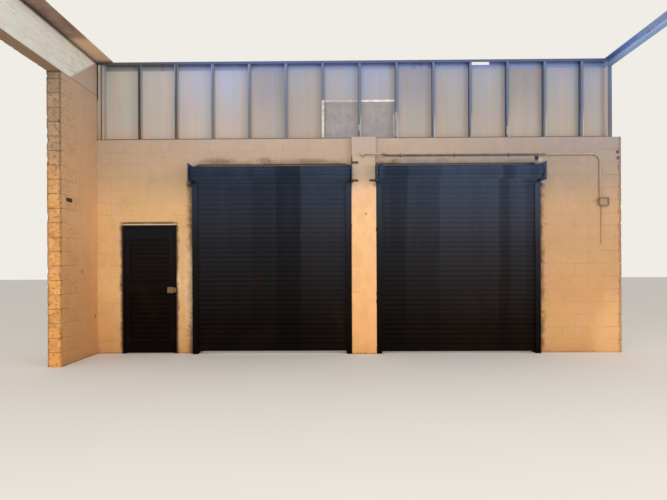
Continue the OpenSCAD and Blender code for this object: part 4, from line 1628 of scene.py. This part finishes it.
    def _build_pilaster(self, wall_front: float) -> None:
        """Builds the pilaster, with soft arrises under thick paint.

        Args:
            wall_front: Place of the wall's front face along Y.
        """
        low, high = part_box("pilaster")
        black = (46, 36, 30)
        rust = (134, 84, 48)
        marks = (
            Smudge(high.x - 0.02, 2.72, 0.05, 0.05, rust, 0.6),
            Smudge(low.x + 0.23, 2.25, 0.02, 0.02, rust, 0.8),
            Smudge(low.x + 0.01, 3.1, 0.015, 0.09, black, 0.8),
            Smudge(low.x, 2.76, 0.04, 0.08, black, 0.45),
            Smudge(low.x + 0.08, 1.0, 0.1, 0.03, rust, 0.15),
        )
        paint = BlockPaint("wall_paint.pilaster", self.pilaster_stops, high.z, (), marks)
        body = WornPrism(low, Vector((high.x, wall_front, high.z)), Axis.Z,
                         Wear(radius=0.016, chip=0.014, share=0.35, seed=9), (0, 3),
                         groove_pitch=self.masonry.course, groove=0.0012, waist=(2.74, 3.2, 0.014))
        finish_piece(body.build("pilaster_blocks"), paint, WALL, "pilaster")


@dataclass
class WingWall:
    """The wing wall with its raw front end, and the beam with its cover plate on it."""

    masonry: Masonry
    joint_at: float = -0.9
    # Tones by height, painted light: warm light bounced from the floor low down, on the painted face and
    # the raw end alike.
    stops: Stops = (
        (0.0, 202, 147, 92), (0.2, 216, 158, 101), (0.5, 224, 174, 122), (0.8, 200, 164, 130),
        (1.0, 190, 162, 138))
    raw_stops: Stops = (
        (0.0, 230, 157, 82), (0.25, 229, 162, 90), (0.5, 215, 154, 92), (0.6, 213, 158, 100),
        (0.66, 203, 152, 102), (0.71, 187, 146, 107), (0.76, 168, 137, 104), (1.0, 162, 135, 109))

    def build(self) -> None:
        """Builds the wall, its raw end, the beam and the plate."""
        low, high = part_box("wing_wall")
        black = (30, 26, 24)
        marks = (
            Smudge(-0.885, 2.4, 0.08, 0.03, black, 0.95, 0.15, True, Axis.Y),
            Smudge(-0.166, 0.624, 0.03, 0.03, (110, 66, 40), 0.7, along=Axis.Y),
            Smudge(-0.55, 1.35, 0.05, 0.04, (120, 84, 56), 0.35, along=Axis.Y),
        )
        paint = BlockPaint("raw_block.painted", self.stops, high.z, (), marks, (Axis.X, high.x, -1),
                           (0.1, 0.1))
        run = Run(low, high, Axis.Y, self.joint_at, False)
        wall = self.masonry.lay("wing_blocks", run, paint, 21)
        finish_piece(wall, paint, WALL, "wing_wall")
        wear = Wear(chip=0.02, share=0.5, uneven=0.0006, seed=17)
        end = self.masonry.broken_ends("wing_end_blocks", run, wear)
        plain = replace(paint, joints=(0.0, 0.0))
        raw = RoughBlock("raw_block", self.raw_stops, high.z, low.y, (low.x, high.x), plain)
        finish_piece(end, raw, WALL)
        self._build_beam()

    def _build_beam(self) -> None:
        """Builds the concrete beam and dresses the steel on it."""
        low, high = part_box("concrete_beam")
        wear = Wear(radius=0.012, chip=0.016, share=0.35, seed=31, step=0.02)
        beam = WornPrism(low, high, Axis.Y, wear)
        finish_piece(beam.build("beam_body"), BeamPaint("beam_paint", low.z, high.z), WALL, "concrete_beam")
        rounded_copy("beam_plate", RustySteel("brown_steel", low.x, high.x), 0.0015)
        # The packing's near-black paint is painted shadow in the gap between the beam and the plate.
        packing = PlainPaint("brown_steel.packing", (62, 52, 46), (48, 40, 36), (92, 66, 48),
                             0.8, 0.4, 0.1, 14)
        rounded_copy("plate_packing", packing, 0.002)


@dataclass
class StudBand:
    """The band of studs and sheets over the wall, with its tracks, trims and fixings."""

    fasteners: Fasteners
    bays: int = 13
    pitch: float = 0.6
    screw_pitch: float = 0.3
    strip: float = 0.0015
    # Glows are painted light on the sheets and dims painted shade, each a bay, a half width in bays and a
    # strength.
    glows: Stretches = ((3.2, 1.5, 0.45), (7.2, 1.4, 0.5), (12.9, 0.9, 0.36))
    dims: Stretches = ((4.5, 0.5, 0.14), (8.5, 0.5, 0.18), (11.5, 0.5, 0.18))
    trim_stops: Stops = (
        (0.0, 158, 132, 112), (0.4, 178, 160, 144), (0.85, 176, 166, 156), (0.92, 196, 188, 178),
        (1.0, 206, 198, 188))
    post_stops: Stops = (
        (0.0, 98, 96, 98), (0.2, 88, 88, 98), (0.5, 86, 93, 112), (0.8, 87, 103, 131), (1.0, 85, 104, 138))

    def build(self) -> None:
        """Dresses the band's steel and sheets and adds the screws."""
        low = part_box("back_sheets")[0]
        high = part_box("back_sheets")[1]
        stud_low, stud_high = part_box("studs")
        half = (stud_high.x - stud_low.x - self.bays * self.pitch) / 2
        first = stud_low.x + half
        studs = StudSteel("galvanised.studs", low.z, high.z, first, self.pitch, half, stud_low.y)
        rail = Galvanised("galvanised", first + 2 * self.pitch, stud_low.y, low.z, high.z)
        glows, dims = (tuple((first + bay * self.pitch, wide * self.pitch, strength)
                             for bay, wide, strength in stretches) for stretches in (self.glows, self.dims))
        sheet = StreakedSheet("sheet", low.z, high.z, first + 1.5 * self.pitch, glows, dims)
        patch = PlainPaint("patch", (143, 137, 139), (153, 147, 145), (114, 106, 105), 0.6, 0.3, 0.1, 5)
        # The trim's dark edge strip is painted shade in its gap by the wing wall; the post's light one is
        # painted light on its shaded side face.
        trim_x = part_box("left_trim")[0].x
        trim = HeightPaint("trim_white", low.z, high.z, self.trim_stops, (140, 122, 106), 0.3, 0.5,
                           (trim_x + 0.012, low.z + 0.65))
        post_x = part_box("end_post")[0].x
        post = HeightPaint("galvanised.post", low.z, high.z, self.post_stops, (70, 62, 58), 0.25, 0.5,
                           (post_x + 0.003, 0.0), (214, 200, 190))
        rounded_copy("studs", studs, 0.0008, segments=1)
        for node in ("bottom_track", "top_track"):
            rounded_copy(node, rail, 0.0006, segments=1)
        rounded_copy("end_post", post, 0.003)
        dress_node("back_sheets", sheet)
        dress_node("patch_sheets", patch)
        rounded_copy("left_trim", trim, 0.0006, segments=1)
        self._add_strips()
        self._fix_screws(rail, first, stud_low, stud_high)

    def _add_strips(self) -> None:
        """Adds the pale strips along the patch's edges and on the studs beside it, one of them a painted
        glint on a stud.
        """
        pale = PlainPaint("patch.edge", (226, 222, 214), (208, 202, 192), (150, 138, 126),
                          0.5, 0.3, 0.1, 12)
        worn = PlainPaint("patch.upright", (204, 202, 192), (180, 176, 164), (120, 108, 98),
                          0.5, 0.5, 0.1, 16)
        dull = PlainPaint("patch.clip", (186, 180, 174), (170, 162, 152), (130, 118, 108),
                          0.5, 0.3, 0.1, 12)
        patch_low, patch_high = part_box("patch_sheets")
        stud_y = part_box("studs")[0].y
        top = (patch_high.z - 0.005, patch_high.z + 0.028)
        on_patch = (patch_low.y - self.strip, patch_low.y)
        on_stud = (stud_y - self.strip, stud_y)
        split = patch_low.x + self.pitch
        strips = {
            pale: ((split, patch_high.x, *on_patch, *top),),
            worn: ((patch_low.x - 0.04, patch_low.x, *on_stud, patch_low.z + 0.02, patch_high.z),),
            dull: ((patch_low.x, split - 0.04, *on_patch, *top),
                   (patch_high.x - 0.03, patch_high.x, *on_patch, patch_low.z + 0.01, patch_low.z + 0.43),
                   (patch_high.x, patch_high.x + 0.016, *on_stud, patch_low.z + 0.03, patch_low.z + 0.43),
                   # A painted glint on the stud beside the patch.
                   (split - 0.04, split - 0.024, *on_stud, patch_low.z + 0.13, patch_low.z + 0.22),
                   (split + 2.36, split + 2.376, *on_stud, patch_low.z + 0.05, patch_low.z + 0.18)),
        }
        for finish, boxes in strips.items():
            corners = [(Vector((x0, y0, z0)), Vector((x1, y1, z1))) for x0, x1, y0, y1, z0, z1 in boxes]
            obj = box_object(finish.name.replace(".", "_") + "_strips", corners)
            bevel_edges(obj, self.strip / 3, 1)
            finish_piece(obj, finish, WALL)

    def _fix_screws(self, steel: Finish, first: float, low: Vector, high: Vector) -> None:
        """Adds the screws through the tracks and, behind, through the sheets.

        Args:
            steel: The screws' finish.
            first: Place of the first stud's middle along X.
            low: The studs' lowest corner.
            high: Their highest corner.
        """
        studs = [first + i * self.pitch for i in range(self.bays + 1)]
        front = [(x, low.y - 0.002, high.z - 0.02) for x in studs]
        self.fasteners.fix("track_screws", front, (0, -1, 0), Head.SCREW, steel)
        back_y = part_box("back_sheets")[1].y
        rows = spread(low.z + 0.05, high.z - 0.05, self.screw_pitch)
        back = [(x + side * 0.012, back_y, z) for x in studs for z in rows for side in (-1, 1)]
        self.fasteners.fix("sheet_screws", back, (0, 1, 0), Head.SCREW, steel)


def build_side_beam() -> None:
    """Dresses the side beam and closes its rear end with a plate."""
    low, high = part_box("side_beam")
    paint = BluePaint("blue_steel", low.z, high.z)
    rounded_copy("side_beam", paint, 0.003)
    flange, web, thick = 0.0095, 0.0075, 0.004
    cap_low = Vector((low.x, high.y - thick, low.z + flange))
    cap_high = Vector((high.x - web, high.y, high.z - flange))
    cap = box_object("beam_end_cap", [(cap_low, cap_high)])
    bevel_edges(cap, 0.001, 2)
    finish_piece(cap, paint, WALL)


@dataclass
class Shutter:
    """One roller shutter with its guides, coil and end plates."""

    side: str
    level: float
    fasteners: Fasteners
    bolt_pitch: float = 0.55
    plate_bolt_pitch: float = 0.11
    guide_w: float = 0.085
    flange_y: float = -0.106
    flange_bolt_in: float = 0.035
    # Tones by height; the blue high up is a painted sheen.
    stops: ClassVar[Stops] = (
        (0.0, 11, 5, 2), (0.143, 16, 9, 6), (0.34, 28, 25, 25), (0.553, 37, 37, 42), (0.67, 46, 47, 55),
        (0.86, 53, 61, 78), (0.955, 52, 62, 84), (0.97, 32, 34, 42))
    # The coil's tones paint light and shade against its round form: lighter on its shaded underside, darker
    # above.
    coil_stops: ClassVar[Stops] = (
        (0.0, 77, 89, 113), (0.8774, 77, 89, 113), (0.8836, 56, 66, 84), (0.89, 51, 61, 80),
        (0.8994, 45, 54, 71), (0.9097, 40, 50, 68), (0.92, 44, 54, 73), (0.955, 42, 53, 74))
    # The curtain's top, in the coil's shadow, is painted lighter.
    curtain_stops: ClassVar[Stops] = (
        *stops[:5], (0.848, 49, 56, 71), (0.863, 62, 70, 88), (0.875, 77, 87, 108))
    guide_stops: ClassVar[Stops] = (
        (0.0, 5, 2, 1), (0.143, 10, 6, 4), (0.34, 23, 19, 18), (0.553, 33, 33, 36), *stops[4:])
    plate_stops: ClassVar[Stops] = (
        *stops[:6], (0.958, 54, 62, 80), (0.965, 104, 98, 94), (0.977, 104, 98, 94), (0.983, 42, 42, 46))
    # Upright stretches, lighter or darker, partly painted reflection on the curtains and partly dust
    # streaks.
    bands: ClassVar[dict[str, Stretches]] = {
        "left": ((-1.79, -1.49, 0.8), (-1.4, -1.03, 0.64), (-1.0, -0.1, 1.26)),
        "right": ((0.33, 0.66, 0.66), (1.24, 2.16, 1.28), (2.2, 2.32, 0.8), (2.39, 2.58, 1.22),
                  (2.76, 2.9, 1.4))}

    def _paint(self, part: str, level: float = 1.0, **changes: Any) -> ShutterBlack:
        """The shutter's black paint, changed for one of its parts.

        Args:
            part: Name of the part.
            level: Its own level, on top of the shutter's.
            **changes: Other fields of the paint.

        Returns:
            The paint.
        """
        stops = changes.pop("stops", self.stops)
        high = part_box("right_end_plates")[1].z
        return ShutterBlack(f"shutter_black.{self.side}_{part}", high, stops, self.level * level,
                            self.bands[self.side], **changes)

    def build(self) -> None:
        """Dresses the shutter and adds its bolts."""
        curtain = self._paint("curtain", stops=self.curtain_stops)
        for part in ("curtain", "bottom_bar"):
            dress_node(f"{self.side}_{part}", curtain)
        dress_node(f"{self.side}_coil", self._paint("coil", stops=self.coil_stops))
        guide = self._paint("guides", 0.8, stops=self.guide_stops)
        rounded_copy(f"{self.side}_guides", guide, 0.0012, segments=1)
        plate = self._paint("plates", 0.9, inner=(-0.11, 0.6 if self.side == "left" else 1.0),
                            stops=self.plate_stops)
        rounded_copy(f"{self.side}_end_plates", plate, 0.0012, segments=1)
        steel = PlainPaint("shaft_steel", (96, 92, 90), (70, 62, 58), (88, 56, 38), 0.45, 0.6, 0.7, 20)
        dress_node(f"{self.side}_barrel", steel)
        self._fix_bolts(guide, plate)

    def _fix_bolts(self, guide: Finish, plate: Finish) -> None:
        """Adds the bolts of the guides and of the outer end plate.

        Args:
            guide: The guides' paint.
            plate: The end plate's paint.
        """
        low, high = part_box(f"{self.side}_guides")
        inward = self.guide_w / 4
        places = spread(0.25, high.z - 0.2, self.bolt_pitch)
        points = [(x, low.y, z) for x in (low.x + inward, high.x - inward) for z in places]
        self.fasteners.fix(f"{self.side}_guide_bolts", points, (0, -1, 0), Head.BOLT, guide)
        low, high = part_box(f"{self.side}_end_plates")
        x = low.x + self.flange_bolt_in if self.side == "left" else high.x - self.flange_bolt_in
        heads = [(x, self.flange_y, z) for z in spread(low.z + 0.05, high.z - 0.05, self.plate_bolt_pitch)]
        self.fasteners.fix(f"{self.side}_plate_bolts", heads, (0, -1, 0), Head.BOLT, plate)


@dataclass
class SlattedDoor:
    """The hinged door with its frame, hinges and lock."""

    fasteners: Fasteners
    screw_inset: float = 0.011
    stops: Stops = (
        (0.0, 9, 3, 0), (0.45, 14, 7, 4), (0.6, 23, 14, 12), (0.86, 25, 21, 21), (0.96, 24, 23, 26))

    def build(self) -> None:
        """Dresses the door and adds its screws."""
        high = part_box("door_leaf")[1]
        paint = ShutterBlack("door_black", high.z, self.stops, dust=(56, 32, 20),
                             sheen=(60, 60, 66))
        rounded_copy("door_frame", paint, 0.002)
        rounded_copy("door_leaf", paint, 0.0015, DOOR)
        dress_node("door_slats", paint)
        hinge = replace(paint, name="hinge_steel")
        dress_node("hinge_lower_halves", hinge)
        dress_node("hinge_upper_halves", hinge)
        brass = PlainPaint("brass", (134, 98, 60), (112, 82, 50), (70, 48, 30), 0.4, 0.5, 0.35, 40)
        rounded_copy("lock_plate", brass, 0.004, DOOR, 3)
        rounded_copy("lock_keep", brass, 0.003)
        low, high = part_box("lock_plate")
        inset = self.screw_inset
        heads = [(x, low.y + inset / 2, z) for x in (low.x + inset, high.x - inset)
                 for z in (low.z + inset, high.z - inset)]
        self.fasteners.fix("lock_screws", heads, (0, -1, 0), Head.RIVET, brass, DOOR, 5)


@dataclass
class Services:
    """Conduit, clips, switch box and drop pipe."""

    fasteners: Fasteners

    def build(self) -> None:
        """Dresses the services."""
        run = RunPaint("conduit_paint", (178, 158, 143), (166, 147, 131), (166, 140, 114),
                       0.6, 0.7, 0.0, 6, black_from=0.36, black_to=2.85)
        for node in ("conduit", "conduit_clips"):
            dress_node(node, run)
        drop = PlainPaint("conduit_paint.drop", (196, 158, 112), (180, 142, 98),
                          (140, 104, 70), 0.6, 0.4, 0.0, 6)
        dress_node("drop_pipe", drop)
        low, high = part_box("switch_box")
        # The box's dark right side and top edge are painted shadow.
        edge = (108, 80, 56)
        marks = (Smudge(high.x - 0.004, (low.z + high.z) / 2, 0.03, 0.08, edge, 0.8, 0.1, True),
                 Smudge((low.x + high.x) / 2, high.z - 0.01, 0.08, 0.018, edge, 0.7, 0.3, True))
        stops = ((0.0, 154, 126, 101), (0.5, 154, 126, 101), (1.0, 158, 132, 106))
        rounded_copy("switch_box", BlockPaint("box_white", stops, high.z, (), marks), 0.008, segments=3)


@dataclass
class Stage:
    """Floor, lamps and camera."""

    eye: tuple[float, float, float] = (-0.4404, -7.6859, 1.4421)
    focal_px: float = 466.8
    image_w: int = 667
    turn: float = 0.00905
    tilt: float = -0.00085
    roll: float = -0.00463
    centre_px: tuple[float, float] = (-1.02, 14.72)
    sensor: float = 36.0
    floor_half: float = 40.0

    def build(self) -> None:
        """Builds floor, lamps, world and camera."""
        self._build_floor()
        self._build_light()
        self._build_camera()
        bpy.context.scene.view_settings.view_transform = "Standard"

    def _build_floor(self) -> None:
        """A plain pale floor."""
        half = self.floor_half
        mesh = bpy.data.meshes.new("floor")
        corners = [(-half, -half, 0), (half, -half, 0), (half, half, 0), (-half, half, 0)]
        mesh.from_pydata(corners, [], [(0, 1, 2, 3)])
        mix = Mixer("floor")
        soft = mix.grain(0.6, 3)
        colour = mix.shade((226, 221, 214), 0.97 + soft * 0.05)
        mesh.materials.append(mix.surface(colour, 0.9))
        new_object("floor", mesh)

    def _build_light(self) -> None:
        """Soft lamps in front and a pale world."""
        world = bpy.data.worlds.new("pale_world")
        bpy.context.scene.world = world
        world.use_nodes = True
        world.node_tree.nodes.clear()
        tree = NodeTree(world.node_tree)
        camera_ray = tree.node("ShaderNodeLightPath", output="Is Camera Ray")
        glossy_ray = Term(tree, camera_ray.socket.node.outputs["Is Glossy Ray"])
        lit = tree.node("ShaderNodeBackground", {"Color": (255, 253.31, 251.61), "Strength": 0.68})
        shown = tree.node("ShaderNodeBackground", {"Color": (240, 236, 230), "Strength": 1.0})
        both = tree.node("ShaderNodeMixShader", {0: camera_ray.at_least(glossy_ray), 1: lit, 2: shown})
        tree.node("ShaderNodeOutputWorld", {0: both})
        self._lamp("front_lamp", (-1.4, -9.5, 6.5), (-0.8, 0.0, 1.8), 7.0, 430)
        self._lamp("side_lamp", (8.0, -8.0, 4.0), (-3.4, 0.0, 2.4), 5.0, 260)

    @staticmethod
    def _lamp(name: str, place: Sequence[float], aim: Sequence[float], size: float, power: float) -> None:
        """Adds one square area lamp.

        Args:
            name: Its name.
            place: Where it hangs.
            aim: The point that it looks at.
            size: Its side.
            power: Its power in watts.
        """
        data = bpy.data.lights.new(name, "AREA")
        data.size = size
        data.energy = power
        lamp = new_object(name, data)
        lamp.location = place
        lamp.rotation_euler = (Vector(aim) - Vector(place)).to_track_quat("-Z", "Y").to_euler()

    def _build_camera(self) -> None:
        """The camera, at the place and angle that show the wall as the photograph does."""
        data = bpy.data.cameras.new("camera")
        data.sensor_width = self.sensor
        data.lens = self.focal_px * self.sensor / self.image_w
        data.shift_x = -self.centre_px[0] / self.image_w
        data.shift_y = self.centre_px[1] / self.image_w
        data.clip_end = 200
        camera = new_object("camera", data)
        aim = Matrix.Rotation(self.turn, 3, "Z") @ Vector((0, math.cos(self.tilt), math.sin(self.tilt)))
        right = aim.cross(Vector((0, 0, 1))).normalized()
        up = right.cross(aim)
        rolled_right = right * math.cos(self.roll) + up * math.sin(self.roll)
        rolled_up = up * math.cos(self.roll) - right * math.sin(self.roll)
        turned = Matrix((rolled_right, rolled_up, -aim)).transposed().to_4x4()
        camera.matrix_world = Matrix.Translation(self.eye) @ turned
        bpy.context.scene.camera = camera


def main() -> None:
    """Builds every sub-assembly in order."""
    logging.basicConfig(level=logging.INFO, format="%(name)s: %(message)s")
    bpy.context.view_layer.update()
    Stage().build()
    masonry = Masonry()
    fasteners = Fasteners()
    BlockWall(masonry).build()
    WingWall(masonry).build()
    StudBand(fasteners).build()
    build_side_beam()
    Shutter("left", 0.9, fasteners).build()
    Shutter("right", 1.2, fasteners).build()
    lugs = PlainPaint("shutter_black.lugs", (52, 52, 58), (38, 36, 40), (92, 46, 24), 0.6, 0.8, 0.0, 14)
    rounded_copy("shutter_lugs", lugs, 0.0015)
    SlattedDoor(fasteners).build()
    Services(fasteners).build()
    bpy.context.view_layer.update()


if __name__ == "__main__":
    main()
